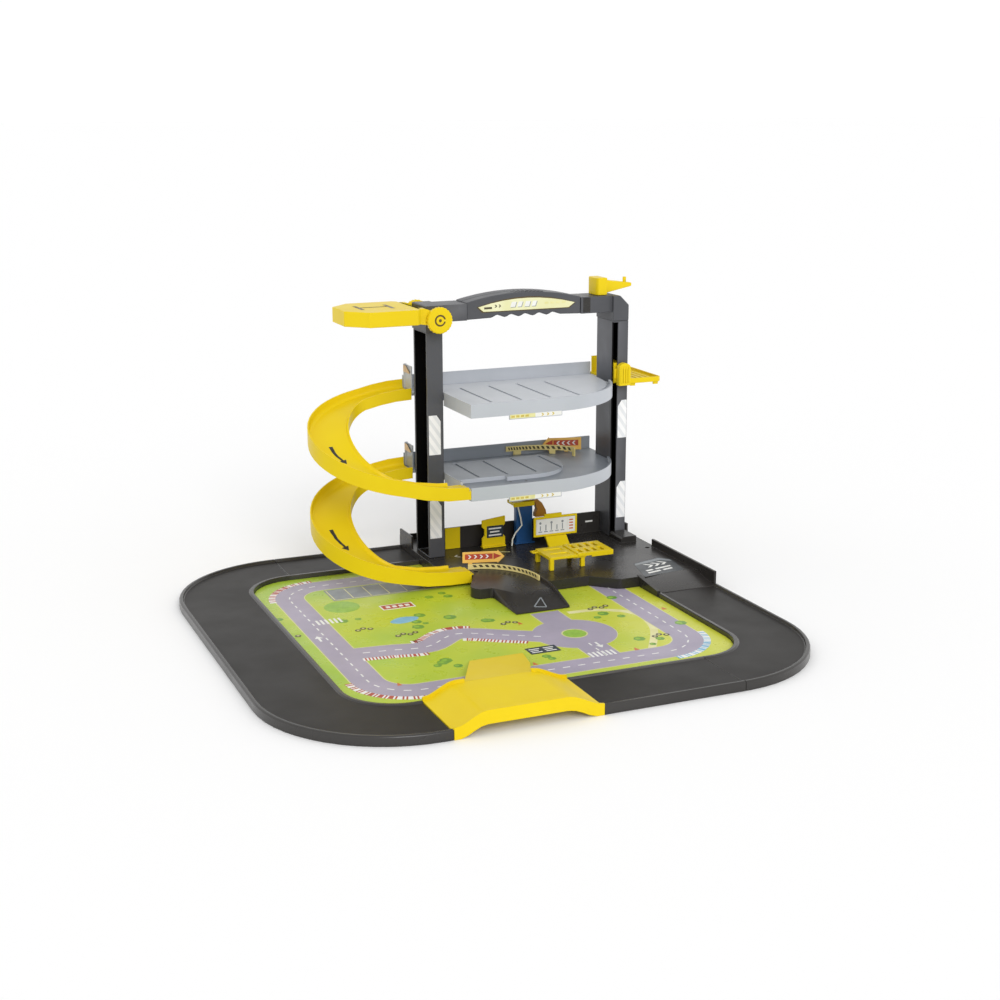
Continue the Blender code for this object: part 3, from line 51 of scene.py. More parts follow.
bodyOf = {node: body for body, members in bodies.items() for node in members}
print("frame loaded:", len(nodes), "nodes")


def toLinear(hexCode):
    # a hex colour through the sRGB curve, with full alpha
    parts = [int(hexCode[i:i + 2], 16) / 255 for i in (1, 3, 5)]
    return [c / 12.92 if c <= 0.04045 else ((c + 0.055) / 1.055) ** 2.4 for c in parts] + [1.0]


def addNode(mat, kind, settings=None, inputs=None):
    # a node with its settings, and a value or a link for each named input
    node = mat.node_tree.nodes.new("ShaderNode" + kind)
    for key, value in (settings or {}).items():
        setattr(node, key, value)
    for key, value in (inputs or {}).items():
        if isinstance(value, bpy.types.NodeSocket):
            mat.node_tree.links.new(value, node.inputs[key])
        else:
            node.inputs[key].default_value = value
    return node


def newMaterial(name, rough, ior=1.5, gloss=0.5, metallic=0.0):
    mat = bpy.data.materials.new(name)
    mat.use_nodes = True
    shader = mat.node_tree.nodes["Principled BSDF"]
    shader.inputs["Roughness"].default_value = rough
    shader.inputs["Metallic"].default_value = metallic
    if not metallic:
        shader.inputs["IOR"].default_value = ior
        shader.inputs["Specular IOR Level"].default_value = gloss
    return mat, shader


def math2(mat, operation, first, second):
    return addNode(mat, "Math", {"operation": operation}, {0: first, 1: second}).outputs[0]


def noiseAt(mat, coords, size, detail=2.0):
    # noise whose blotches are about size across
    settings = {"Vector": coords, "Scale": perMetre / size, "Detail": detail}
    return addNode(mat, "TexNoise", None, settings).outputs[0]


def between(mat, value, low, high, fromLow=0.35, fromHigh=0.65):
    # value rescaled to low..high; the range that it comes from is that of most noise
    return addNode(mat, "MapRange", None, {
        "Value": value, "From Min": fromLow, "From Max": fromHigh, "To Min": low,
        "To Max": high}).outputs[0]


def blendColours(mat, share, first, second):
    return addNode(mat, "Mix", {"data_type": "RGBA"}, {0: share, 6: first, 7: second}).outputs[2]


def bump(mat, height, share, depth):
    return addNode(mat, "Bump", None, {"Strength": share, "Distance": depth * mm, "Height": height})


# What all mouldings share: the corner sharpness at which wear starts and is full, how far a rubbed
# patch can fade, how much shinier and duller the sheen gets, and the depth of the grain
mould = {"wearFrom": 0.57, "wearTo": 0.68, "leastWear": 0.3, "shinier": 0.03, "duller": 0.04,
         "cloudDetail": 3.0, "sheenDetail": 4.0, "sinkShare": 0.2, "grainDepth": 0.05}


def mouldedPlastic(name, s):
    # injection moulded plastic: spark-eroded grain, faint flow clouding, rubbed edges, uneven
    # sheen; its colours are the main one, the shade in the clouds and that of worn edges
    mat, shader = newMaterial(name, s["rough"], s["ior"], s["gloss"])
    link = mat.node_tree.links.new
    coords = addNode(mat, "TexCoord").outputs["Object"]
    clouds = noiseAt(mat, coords, s["cloud"], mould["cloudDetail"])
    main, shade, worn = (toLinear(colour) for colour in s["colours"])
    body = blendColours(mat, between(mat, clouds, 0.0, 1.0), main, shade)
    corner = addNode(mat, "NewGeometry").outputs["Pointiness"]
    rubbed = between(mat, corner, 0.0, s["wear"], mould["wearFrom"], mould["wearTo"])
    patches = between(mat, noiseAt(mat, coords, s["scuff"]), mould["leastWear"], 1.0)
    body = blendColours(mat, math2(mat, "MULTIPLY", rubbed, patches), body, worn)
    link(body, shader.inputs["Base Color"])
    sheen = noiseAt(mat, coords, s["scuff"], mould["sheenDetail"])
    link(between(mat, sheen, s["rough"] - mould["shinier"], s["rough"] + mould["duller"]),
         shader.inputs["Roughness"])
    sink = noiseAt(mat, coords, s["sink"], 0.0)
    waves = bump(mat, sink, mould["sinkShare"], s["sinkDepth"])
    grain = noiseAt(mat, coords, s["grain"])
    fine = bump(mat, grain, s["grainShare"], mould["grainDepth"])
    link(waves.outputs[0], fine.inputs["Normal"])
    link(fine.outputs[0], shader.inputs["Normal"])
    return mat


# What all prints share: the sheen and the waves of the laminate, the drift of the ink and the
# screen of the press, which lets a little white through
press = {"rough": 0.34, "gloss": 0.3, "patch": 40, "toneFrom": 0.38, "toneTo": 0.62,
         "screen": 0.9, "screenShare": 0.03, "sheen": 22, "shinier": 0.05, "duller": 0.08,
         "wave": 12, "waveShare": 0.15, "waveDepth": 0.1}


def printedFilm(name, own):
    # offset print under clear laminate: ink that varies a little, a fine screen, a glossy wavy skin
    s = press | own
    mat, shader = newMaterial(name, s["rough"], gloss=s["gloss"])
    link = mat.node_tree.links.new
    coords = addNode(mat, "TexCoord").outputs["Object"]
    tone = between(mat, noiseAt(mat, coords, s["patch"], 3.0), 0.0, 1.0, s["toneFrom"], s["toneTo"])
    ink = blendColours(mat, tone, toLinear(s["colour"]), toLinear(s["shade"]))
    screen = between(mat, noiseAt(mat, coords, s["screen"]), 0.0, s["screenShare"])
    link(blendColours(mat, screen, ink, toLinear("#ffffff")), shader.inputs["Base Color"])
    sheen = noiseAt(mat, coords, s["sheen"], 3.0)
    link(between(mat, sheen, s["rough"] - s["shinier"], s["rough"] + s["duller"]),
         shader.inputs["Roughness"])
    ripple = noiseAt(mat, coords, s["wave"], 1.0)
    link(bump(mat, ripple, s["waveShare"], s["waveDepth"]).outputs[0], shader.inputs["Normal"])
    return mat, coords, ink, shader


# What pieces of one plastic, or of one size, have in common. The grain of a real mould is near
# 0.15 mm, too fine to show, so it is drawn at 0.8 or 0.9 mm.
polypropylene = {"ior": 1.49, "wear": 0.5, "cloud": 140, "scuff": 60, "grain": 0.9, "sink": 90,
                 "sinkDepth": 0.3}
toughAbs = {"ior": 1.53, "grain": 0.8}
smallAbs = toughAbs | {"gloss": 0.35, "wear": 0.4, "cloud": 40, "scuff": 20, "grainShare": 0.06,
                       "sink": 30, "sinkDepth": 0.2}
polystyrene = {"ior": 1.59, "grain": 0.8}
deckMould = polystyrene | {"wear": 0.4, "cloud": 100, "scuff": 40, "grainShare": 0.08,
                           "sink": 70, "sinkDepth": 0.25}
smallMould = polystyrene | {"rough": 0.4, "gloss": 0.3, "wear": 0.3, "cloud": 30, "scuff": 16,
                            "grainShare": 0.05, "sink": 20, "sinkDepth": 0.1}
# Polypropylene with a fine matt grain: near black, with a broad soft sheen
charcoalPolypropylene = mouldedPlastic("charcoalPolypropylene", polypropylene | {
    "colours": ("#302e2c", "#2b2927", "#5a5754"), "rough": 0.38, "gloss": 0.1,
    "grainShare": 0.2, "sinkDepth": 0.4})
# The rims and walls of the road come from a polished part of the tool and catch a line of light
# Their colours are also a little lighter than the road's, with lighter worn edges: a painted
# highlight
rimPolypropylene = mouldedPlastic("rimPolypropylene", polypropylene | {
    "colours": ("#353331", "#302e2c", "#6a6764"), "rough": 0.24, "gloss": 0.5,
    "grainShare": 0.05})
# The same polypropylene from a polished tool: the platform mirrors the towers softly
platformPolypropylene = mouldedPlastic("platformPolypropylene", polypropylene | {
    "colours": ("#322f2d", "#2d2b29", "#56524e"), "rough": 0.28, "gloss": 0.3, "wear": 0.2,
    "grainShare": 0.08})
# ABS from a polished tool with light grain: dark grey towers, caps and handle
towerAbs = mouldedPlastic("towerAbs", toughAbs | {
    "colours": ("#4f5054", "#4a4b4f", "#7d7e83"), "rough": 0.40, "gloss": 0.32,
    "wear": 0.5, "cloud": 90, "scuff": 40, "grainShare": 0.15, "sink": 60, "sinkDepth": 0.3})
# The same ABS where no light gets in: the insides of the towers look black
innerAbs = mouldedPlastic("innerAbs", toughAbs | {
    "colours": ("#0d0c0d", "#0a090a", "#161516"), "rough": 0.62, "gloss": 0.1,
    "wear": 0.2, "cloud": 60, "scuff": 30, "grainShare": 0.1, "sink": 40, "sinkDepth": 0.2})
# ABS from a glossy tool: saturated yellow with soft highlights
yellowAbs = mouldedPlastic("yellowAbs", toughAbs | {
    "colours": ("#e7cc18", "#e2c416", "#f0de58"), "rough": 0.34, "gloss": 0.13,
    "wear": 0.35, "cloud": 120, "scuff": 50, "grainShare": 0.05, "sink": 80, "sinkDepth": 0.3})
# High impact polystyrene, satin: cool light grey decks
deckPolystyrene = mouldedPlastic("deckPolystyrene", deckMould | {
    "colours": ("#b9bdc4", "#b3b8be", "#d2d5da"), "rough": 0.38, "gloss": 0.3})
# The lower deck and its gate, painted a shade darker for the shade that the upper deck casts
shadedLowerDeckPolystyrene = mouldedPlastic("shadedLowerDeckPolystyrene", deckMould | {
    "colours": ("#979da5", "#90969e", "#bcc0c6"), "rough": 0.32, "gloss": 0.34})
# The floor of the lower deck, the darkest grey as painted shade from the upper deck, and duller
shadedFloorPolystyrene = mouldedPlastic("shadedFloorPolystyrene", deckMould | {
    "colours": ("#7f858d", "#787e86", "#a2a7ad"), "rough": 0.36, "gloss": 0.3})
# ABS, glossy navy blue
blueAbs = mouldedPlastic("blueAbs", smallAbs | {
    "colours": ("#1d4f86", "#184677", "#4d7bab"), "rough": 0.34, "cloud": 50, "scuff": 24})
# ABS, ochre, satin
ochreAbs = mouldedPlastic("ochreAbs", smallAbs | {
    "colours": ("#b9822f", "#a87428", "#dcae63"), "rough": 0.4})
# ABS, natural white, glossy
whiteAbs = mouldedPlastic("whiteAbs", smallAbs | {
    "colours": ("#e9e8e0", "#e1e0d6", "#ffffff"), "rough": 0.32, "gloss": 0.4, "wear": 0.2,
    "grainShare": 0.05})
# Polystyrene, cream: the guide fences
creamPolystyrene = mouldedPlastic("creamPolystyrene", smallMould | {
    "colours": ("#e6d48f", "#dccb84", "#f3e8b8")})
# Polystyrene, tan: tops of the lane gates
tanPolystyrene = mouldedPlastic("tanPolystyrene", smallMould | {
    "colours": ("#c9a878", "#bd9a6a", "#dcc7a2"), "rough": 0.42, "cloud": 20, "scuff": 12})


def zincPlated(name, s):
    # rolled steel with bright zinc: fine turning lines and a slightly blue, patchy shine
    mat, shader = newMaterial(name, s["rough"], metallic=1.0)
    link = mat.node_tree.links.new
    coords = addNode(mat, "TexCoord").outputs["Object"]
    patch = between(mat, noiseAt(mat, coords, s["patch"], 3.0), 0.0, 1.0)
    link(blendColours(mat, patch, toLinear(s["colour"]), toLinear(s["shade"])),
         shader.inputs["Base Color"])
    link(between(mat, noiseAt(mat, coords, s["sheen"]), s["shiny"], s["dull"]),
         shader.inputs["Roughness"])
    turned = noiseAt(mat, coords, s["lines"], 1.0)
    link(bump(mat, turned, s["lineShare"], s["lineDepth"]).outputs[0], shader.inputs["Normal"])
    return mat


zincSteel = zincPlated("zincSteel", {
    "rough": 0.3, "colour": "#b9bcc0", "shade": "#a3a7ad", "patch": 3, "sheen": 2, "shiny": 0.22,
    "dull": 0.38, "lines": 0.6, "lineShare": 0.2, "lineDepth": 0.03})
# Gloss laminate over a cream printing ground: the handle badge
badgeFilm = printedFilm("badgeFilm", {"colour": "#e6e5bd", "shade": "#dfddaa", "patch": 30})[0]
# Polystyrene, pale orange: plates of the arrow signs
signPolystyrene = mouldedPlastic("signPolystyrene", smallMould | {
    "colours": ("#efc063", "#e7b556", "#f7dfa8")})
# Offset inks under gloss laminate: the mat, the labels and the stickers
inks = {name: printedFilm("ink" + name, {"colour": colour, "shade": shade, "patch": patch})[0]
        for name, (colour, shade, patch) in {
    "Lilac": ("#a79eb0", "#9f97a9", 60), "Cream": ("#d9d894", "#d3d18a", 40),
    "White": ("#ecece8", "#e4e4df", 40), "Red": ("#b5452f", "#a93c28", 10),
    "Sky": ("#7fb9d6", "#6faccd", 20), "Navy": ("#1c2c3a", "#192733", 10),
    "Black": ("#26231f", "#211f1b", 10), "Bush": ("#6fa02c", "#5e9127", 6),
    "Leaf": ("#93bd35", "#84b12f", 6), "Orange": ("#cf6a2c", "#c45f25", 8),
    "Grey": ("#8d9396", "#84898d", 12), "Slate": ("#3c4145", "#373c40", 16),
    "Gold": ("#cdb755", "#c4ad4a", 10), "Umber": ("#5a4712", "#52400f", 8),
    "Brown": ("#4a4128", "#423a23", 12), "Straw": ("#e4e0a6", "#dbd693", 16),
}.items()}


def printedGreen(name, s):
    # the mat's ground colour: green that drifts to yellow in broad airbrushed fields
    mat, coords, ink, shader = printedFilm(name, s)
    axes = addNode(mat, "SeparateXYZ", None, {0: coords}).outputs
    across = between(mat, axes[0], 0.0, s["drift"], -s["reach"], s["reach"])
    patchy = between(mat, noiseAt(mat, coords, s["field"], 1.0), 0.0, s["clouds"], 0.4, 0.6)
    field = math2(mat, "ADD", across, patchy)
    mat.node_tree.links.new(blendColours(mat, field, ink, toLinear(s["warm"])),
                            shader.inputs["Base Color"])
    return mat


laminatedBoard = printedGreen("laminatedBoard", {
    "colour": "#9cbf38", "shade": "#a9c437", "warm": "#cbcf3c", "patch": 70, "field": 160,
    "drift": 0.7, "reach": 0.25, "clouds": 0.35, "rough": 0.3, "gloss": 0.32})


def stripedFilm(name, s):
    # white sticker with pale diagonal bars
    mat, coords, ink, shader = printedFilm(name, s)
    axes = addNode(mat, "SeparateXYZ", None, {0: coords}).outputs
    slope = math2(mat, "ADD", math2(mat, "MULTIPLY", axes[2], s["lean"]), axes[0])
    phase = math2(mat, "FRACT", math2(mat, "MULTIPLY", slope, perMetre / s["pitch"]), 0.0)
    bar = between(mat, phase, 0.0, 1.0, s["barFrom"], s["barFull"])
    mat.node_tree.links.new(blendColours(mat, bar, ink, toLinear(s["bar"])),
                            shader.inputs["Base Color"])
    return mat


hazardFilm = stripedFilm("hazardFilm", {
    "colour": "#f6f6f6", "shade": "#f0f0f0", "bar": "#e2e4e6", "pitch": 12, "lean": 0.7,
    "barFrom": 0.52, "barFull": 0.56})
print("materials made")

# How edges are rounded: points closer than weld are one, faces within flat degrees are one, and
# edges over sharp degrees are rounded where the shortest edge beside them leaves room
rounding = {"weld": 0.002, "flat": 0.5, "sharp": 33, "room": 1.3, "segments": 2, "profile": 0.5,
            "crease": 38}


def roundEdges(bm, edges, width):
    bmesh.ops.bevel(bm, geom=edges, offset=width, offset_type="OFFSET",
                    segments=rounding["segments"], profile=rounding["profile"],
                    affect="EDGES", clamp_overlap=True)


def isSharp(edge):
    return edge.calc_face_angle(0.0) > math.radians(rounding["sharp"])


def pieceFrom(bm, name, finish, slotName, body):
    # the finished mesh becomes a piece that rides on its body
    mesh = bpy.data.meshes.new(name)
    bm.to_mesh(mesh)
    bm.free()
    mesh.materials.clear()
    mesh.materials.append(finish)
    mesh.shade_smooth()
    mesh.set_sharp_from_angle(angle=math.radians(rounding["crease"]))
    piece = bpy.data.objects.new(name, mesh)
    bpy.context.scene.collection.objects.link(piece)
    piece.modifiers.new("evenShading", "WEIGHTED_NORMAL").keep_sharp = True
    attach(piece, body)
    return piece


def softShell(node, finish, slotName, edge):
    # the node's own shape, with its moulded edges rounded to a radius of about edge
    bm = bmesh.new()
    bm.from_mesh(nodes[node].data)
    bmesh.ops.remove_doubles(bm, verts=bm.verts, dist=rounding["weld"] * mm)
    bmesh.ops.dissolve_limit(bm, angle_limit=math.radians(rounding["flat"]), verts=bm.verts,
                             edges=bm.edges)
    width = edge * mm
    shortest = {v: min(e.calc_length() for e in v.link_edges) for v in bm.verts if v.link_edges}
    room = rounding["room"] * width
    roundEdges(bm, [e for e in bm.edges if len(e.link_faces) == 2 and isSharp(e)
                    and min(shortest[e.verts[0]], shortest[e.verts[1]]) > room], width)
    piece = pieceFrom(bm, node + "_shell", finish, slotName, bodyOf[node])
    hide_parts(node)


def shellOf(node):
    return bpy.data.objects[node + "_shell"]


def solidFrom(bm, rows, closed):
    # skin of a row of equal rings of points, facing outwards; a closed row is a ring itself
    rings = [[bm.verts.new(Vector(p) * mm) for p in row] for row in rows]
    count = len(rings[0])
    faces = []
    for k in range(len(rings) if closed else len(rings) - 1):
        here, there = rings[k], rings[(k + 1) % len(rings)]
        for i in range(count):
            j = (i + 1) % count
            faces.append(bm.faces.new((here[i], here[j], there[j], there[i])))
    if not closed:
        faces += [bm.faces.new(rings[0]), bm.faces.new(rings[-1])]
    bmesh.ops.recalc_face_normals(bm, faces=faces)


def boxRows(low, high):
    (x0, y0, z0), (x1, y1, z1) = low, high
    return [[(x, y0, z0), (x, y1, z0), (x, y1, z1), (x, y0, z1)] for x in (x0, x1)], False


def solidPiece(name, solids, finish, slotName, body, soft=0.0):
    # one piece from several solids, each its rows and whether they close, with edges rounded to
    # a radius of soft
    bm = bmesh.new()
    for rows, closed in solids:
        solidFrom(bm, rows, closed)
    if soft:
        roundEdges(bm, [e for e in bm.edges if isSharp(e)], soft * mm)
    pieceFrom(bm, name, finish, slotName, body)


def turnedRing(axis, profile, steps=28):
    # rows round an axis along y; axis is its x and z, and profile gives (radius, y) pairs
    turns = [2 * math.pi * i / steps for i in range(steps)]
    return [[(axis[0] + r * math.cos(a), y, axis[1] + r * math.sin(a)) for r, y in profile]
            for a in turns]


def ribbon(path, left, right, closed=False):
    # a band of even width beside a path, for film
    return path, [(left, right)] * len(path), closed


def film(name, outlines, place, finish, slotName, body="garage", low=0.02, high=0.12, ribbons=()):
    # thin film cut to outlines and to ribbons, each a path with its widths to the left and right
    # of each point; place turns (u, v, height) into a point
    solids = [([[place(u, v, h) for u, v in outline] for h in (low, high)], False)
              for outline in outlines]
    for path, widths, closed in ribbons:
        rows = []
        for i, (point, (left, right)) in enumerate(zip(path, widths)):
            before = path[i - 1] if closed or i else point
            after = path[(i + 1) % len(path)] if closed or i + 1 < len(path) else point
            along = (Vector(after) - Vector(before)).normalized()
            side = Vector((-along.y, along.x))
            a, b = Vector(point) + side * left, Vector(point) - side * right
            rows.append([place(*a, low), place(*b, low), place(*b, high), place(*a, high)])
        solids.append((rows, closed))
    solidPiece(name, solids, finish, slotName, body)


def onLevel(z):
    return lambda u, v, h: (u, v, z + h)


def onFront(y):
    return lambda u, v, h: (u, y - h, v)


def surface(mesh, points):
    # the faces of a mesh, for rays to land on
    return BVHTree.FromPolygons(points, [tuple(p.vertices) for p in mesh.polygons])


def laidOn(piece, top):
    # place function for films that lie on a sloping piece, seen from the height top
    mesh = piece.data
    tree = surface(mesh, [v.co.copy() for v in mesh.vertices])

    def place(u, v, h):
        hit = tree.ray_cast(Vector((u, v, top)) * mm, Vector((0, 0, -1)))[0]
        return (u, v, hit.z / mm + h)
    return place


def facing(node, start=None):
    # place function for films on a node: (u, v) is x and z seen from far in front, or an angle
    # and z seen from the upright line through start
    source = nodes[node]
    tree = surface(source.data, [source.matrix_world @ v.co for v in source.data.vertices])
    farFront = -400

    def place(u, v, h):
        if start:
            a = math.radians(u)
            origin, way = Vector((*start, v)), Vector((math.cos(a), math.sin(a), 0))
        else:
            origin, way = Vector((u, farFront, v)), Vector((0, 1, 0))
        hit, normal = tree.ray_cast(origin * mm, way)[:2]
        if hit is None:
            hit, normal = tree.find_nearest(origin * mm)[:2]
        return tuple(hit / mm + normal * h)
    return place


def rect(u0, v0, u1, v1):
    return [(u0, v0), (u1, v0), (u1, v1), (u0, v1)]


def disc(u, v, radius, count=14):
    turns = [2 * math.pi * i / count for i in range(count)]
    return [(u + radius * math.cos(a), v + radius * math.sin(a)) for a in turns]


def chevron(u, v, size, thick, way=1):
    # an arrow head that points along u
    s, t = size * way, thick * way
    return [(u, v - size), (u + t, v - size), (u + t + s, v), (u + t, v + size), (u, v + size),
            (u + s, v)]


def smoothLine(points, steps=7, closed=False):
    # Catmull-Rom curve through points in the plane
    count = len(points)
    curve = []
    for i in range(count if closed else count - 1):
        p = [Vector(points[k % count] if closed else points[min(max(k, 0), count - 1)])
             for k in (i - 1, i, i + 1, i + 2)]
        for k in range(steps):
            t = k / steps
            curve.append(tuple(0.5 * (2 * p[1] + (p[2] - p[0]) * t
                                      + (2 * p[0] - 5 * p[1] + 4 * p[2] - p[3]) * t * t
                                      + (3 * p[1] - 3 * p[2] + p[3] - p[0]) * t ** 3)))
    return curve if closed else curve + [tuple(points[-1])]


def roundedLoop(left, front, right, back, radius, steps=10):
    # a rectangle with round corners, from its front right corner on, and steps + 1 points a corner
    line = []
    for cx, cy, start in ((right - radius, front + radius, 270), (right - radius, back - radius, 0),
                          (left + radius, back - radius, 90), (left + radius, front + radius, 180)):
        for i in range(steps + 1):
            a = math.radians(start + 90 * i / steps)
            line.append((cx + radius * math.cos(a), cy + radius * math.sin(a)))
    return line


def pointAlong(path, distance):
    # point and direction at a distance along a path
    for a, b in zip(path, path[1:]):
        step = (Vector(b) - Vector(a)).length
        if distance <= step:
            break
        distance -= step
    along = (Vector(b) - Vector(a)).normalized()
    return Vector(a) + along * min(distance, step), along


def blocksAlong(path, pitch, long, near, far, start=0.0):
    # short blocks in a row beside a path, between two distances from it
    length = sum((Vector(b) - Vector(a)).length for a, b in zip(path, path[1:]))
    blocks = []
    for i in range(int((length - start) / pitch)):
        (a, da), (b, db) = (pointAlong(path, start + i * pitch + d) for d in (0.0, long))
        sideA, sideB = Vector((-da.y, da.x)), Vector((-db.y, db.x))
        blocks.append([tuple(a + sideA * near), tuple(b + sideB * near), tuple(b + sideB * far),
                       tuple(a + sideA * far)])
    return blocks


print("tools ready")

# Moulded shells: every CAD node keeps its shape and gets its plastic and its rounded edges
for finish, slotName, edges in (
        (charcoalPolypropylene, "charcoal_plastic", {
            "ring_left": 1.1, "ring_back": 1.1, "ring_front": 1.1, "ring_right": 1.1}),
        (platformPolypropylene, "charcoal_plastic", {"platform": 1.0}),
        (towerAbs, "tower_plastic", {
            "left_tower": 0.7, "right_tower": 0.7, "left_cap": 1.1, "right_cap": 1.1,
            "handle_front": 1.4, "handle_rear": 1.4}),
        (yellowAbs, "yellow_plastic", {
            "bridge": 0.8, "spiral_upper": 0.7, "spiral_lower": 0.7, "helipad": 2.4,
            "helipad_disc_front": 0.6, "helipad_disc_rear": 0.6, "crane_boom": 1.0,
            "crane_pin": 0.4, "lift_cab": 0.6, "lift_knob": 0.9, "lift_slider": 0.5,
            "notice_board": 0.6, "pump_canopy": 0.8, "tool_board": 0.6, "tool_stand": 0.5,
            "service_table": 0.5, "service_tray": 0.4, "wall_panel": 0.3}),
        (deckPolystyrene, "deck_plastic", {"deck_upper": 0.8, "gate_upper": 0.4}),
        (shadedLowerDeckPolystyrene, "deck_plastic", {"deck_lower": 0.8, "gate_lower": 0.4}),
        (blueAbs, "blue_plastic", {"pump_column": 0.6}),
        (ochreAbs, "ochre_plastic", {"pump_arm": 0.8}),
        (whiteAbs, "white_plastic", {"tool_panel": 0.2, "pump_pipe": 0.2})):
    for node, edge in edges.items():
        softShell(node, finish, slotName, edge)


def addFinish(node, finish, belongs):
    # another finish on those faces of a shell for which belongs(centre, normal) is true
    mesh = shellOf(node).data
    mesh.materials.append(finish)
    for face in mesh.polygons:
        if belongs([c / mm for c in face.center], face.normal):
            face.material_index = len(mesh.materials) - 1


road = {"flat": 0.99, "top": 8.6}
for node in ("ring_left", "ring_back", "ring_front", "ring_right"):
    addFinish(node, rimPolypropylene,
              lambda at, normal: normal.z < road["flat"] or at[2] > road["top"])
# Lower deck by painted light: its unshaded front edge in the deck colour, its floor in painted
# shade
deck = {"flat": 0.9, "front": 230}
addFinish("deck_lower", deckPolystyrene,
          lambda at, normal: at[1] < deck["front"] and abs(normal.z) < deck["flat"])
addFinish("deck_lower", shadedFloorPolystyrene, lambda at, normal: normal.z > deck["flat"])
unlit = {"left_tower": ((22, 243.5, 19), (44.2, 294.5, 344.5)),
         "right_tower": ((314.1, 243.5, 19), (336.5, 294.5, 344.5))}
for node, corners in unlit.items():
    addFinish(node, innerAbs,
              lambda at, normal: all(a < c < b for a, c, b in zip(corners[0], at, corners[1])))
print("moulded shells made")


def makeMatPrint():
    # the printed street scene: an outer loop, a street from the ramp with a roundabout, a winding
    # lane, and planting, a pond, cones and tyre stacks in the fields between them
    m = {"top": 3.6, "under": 0.005, "step": 0.012, "street": 19.5, "edge": 1.4,
         "loop": (-206, -206, 214, 222, 52), "circle": (88, -100), "circleVerge": 55,
         "circleRoad": 54, "circleGreen": 15, "circleLine": 16, "lineHalf": 0.9,
         "green": (-150, 120, 24), "kerb": 8.5, "kerbInset": 0.4, "kerbLong": 2.0,
         "kerbPitch": 4.4, "dashLong": 9, "dashPitch": 20, "stripe": 3, "stripePitch": 6,
         "check": 5, "bayPitch": 26, "bayLine": 1.4, "bushStep": 0.0012, "bushFlat": 0.7,
         "bushRadius": (4, 8.5), "bushLobe": 0.13, "coneHalf": 3, "coneTip": 0.7, "coneTall": 8,
         "tyre": 4.0, "tyreHole": 1.9, "tyreStep": (8.2, 4.6), "pathHalf": 5}
    # how far each print stands above the board, so that none lies in the plane of another
    heights = {"path": 0.024, "verge": 0.03, "bush": 0.045, "bushLight": 0.05, "asphalt": 0.09,
               "pond": 0.13, "bayGround": 0.14, "island": 0.15, "islandEdge": 0.16,
               "kerbRed": 0.17, "bayLines": 0.2, "kerbSky": 0.23, "startLine": 0.255,
               "pitBox": 0.26, "slate": 0.26, "markings": 0.27, "startChecks": 0.275,
               "cones": 0.28, "pitField": 0.28, "slateBars": 0.29, "kerbBlocks": 0.295,
               "tyres": 0.3, "pitBars": 0.3, "tyreHoles": 0.32}
    loop = roundedLoop(*m["loop"])
    down = [(88, -8), (88, -50), (88, -100), (88, -150), (88, -206)]
    lane = smoothLine([(54, -100), (10, -74), (-50, -42), (-100, -72), (-150, -66), (-206, -60)])

    def printed(name, ink, outlines=(), ribbons=(), high=None):
        film(name, outlines, onLevel(m["top"]), inks[ink], "printed_board", low=m["under"],
             high=high or heights[name], ribbons=ribbons)

    def layer(name, ink, outlines, ribbons):
        # each ribbon lies a little above the one before
        for k, band in enumerate(ribbons):
            printed("%s_%d" % (name, k + 1), ink, (), [band], heights[name] + m["step"] * k)
        if outlines:
            printed(name, ink, outlines)

    def streets(reach):
        return [ribbon(loop, reach, reach, True), ribbon(down, reach, reach),
                ribbon(lane, reach, reach)]

    layer("verge", "Cream", [disc(*m["circle"], m["circleVerge"], 40)],
          streets(m["street"] + m["edge"]))
    layer("asphalt", "Lilac", [disc(*m["circle"], m["circleRoad"], 40)], streets(m["street"]))
    printed("island", "Leaf", [disc(*m["circle"], m["circleGreen"], 24), disc(*m["green"], 20)])
    printed("islandEdge", "Cream", (), [ribbon(disc(*m["circle"], m["circleLine"], 28),
                                               m["lineHalf"], m["lineHalf"], True)])
    # striped kerbs at the bends, where 1 is the left side of a line and -1 its right side
    corner = [loop[11 * i:11 * i + 11] for i in range(4)]
    kerbs = {"Red": [(corner[3], -1), (corner[2], -1), (lane[4:14], 1), (lane[12:24], -1),
                     (lane[22:33], 1)],
             "Sky": [(corner[0], -1), (corner[1], -1)]}
    for ink, runs in kerbs.items():
        strips, blocks = [], []
        for run, side in runs:
            near = (m["street"] - m["kerbInset"]) * side
            far = (m["street"] + m["kerb"]) * side
            strips.append(ribbon(run, max(near, far), -min(near, far)))
            blocks += blocksAlong(run, m["kerbPitch"], m["kerbLong"], near, far)
        layer("kerb" + ink, "White", (), strips)
        for half in (0, 1):
            printed("kerbBlocks%s_%d" % (ink, half + 1), ink, blocks[half::2],
                    high=heights["kerbBlocks"])
    markings = []
    for path, start in ((loop + loop[:1], 6), (down[2:], 40), (lane, 12)):
        markings += blocksAlong(path, m["dashPitch"], m["dashLong"], m["lineHalf"], -m["lineHalf"],
                                start)
    for u, v, long in ((70, -188, 16), (-200, 60, 18)):
        for left in (u + m["stripePitch"] * i for i in range(6)):
            markings.append(rect(left, v, left + m["stripe"], v + long))
    arrow = ((-1.4, 12), (-1.4, 0), (-5, 0), (0, -9), (5, 0), (1.4, 0), (1.4, 12))
    for u, v, way in ((97, -152, 1), (-215, 10, -1)):
        markings.append([(u + across, v + way * ahead) for across, ahead in arrow])
    printed("markings", "White", markings)
    printed("startLine", "White", [rect(-30, -224, -20, -188)])
    side = m["check"]
    printed("startChecks", "Navy", [
        rect(-30 + side * i, -222 + side * j, -30 + side * (i + 1), -222 + side * (j + 1))
        for i in range(2) for j in range(7) if (i + j) % 2 == 0])
    lines = [rect(-150 + m["bayPitch"] * i, 150, -150 + m["bayLine"] + m["bayPitch"] * i, 196)
             for i in range(7)]
    printed("bayLines", "Straw", lines + [rect(-150, 150, 7.4, 150 + m["bayLine"])])
    printed("bayGround", "Grey", [rect(-152, 148, 9, 198)])

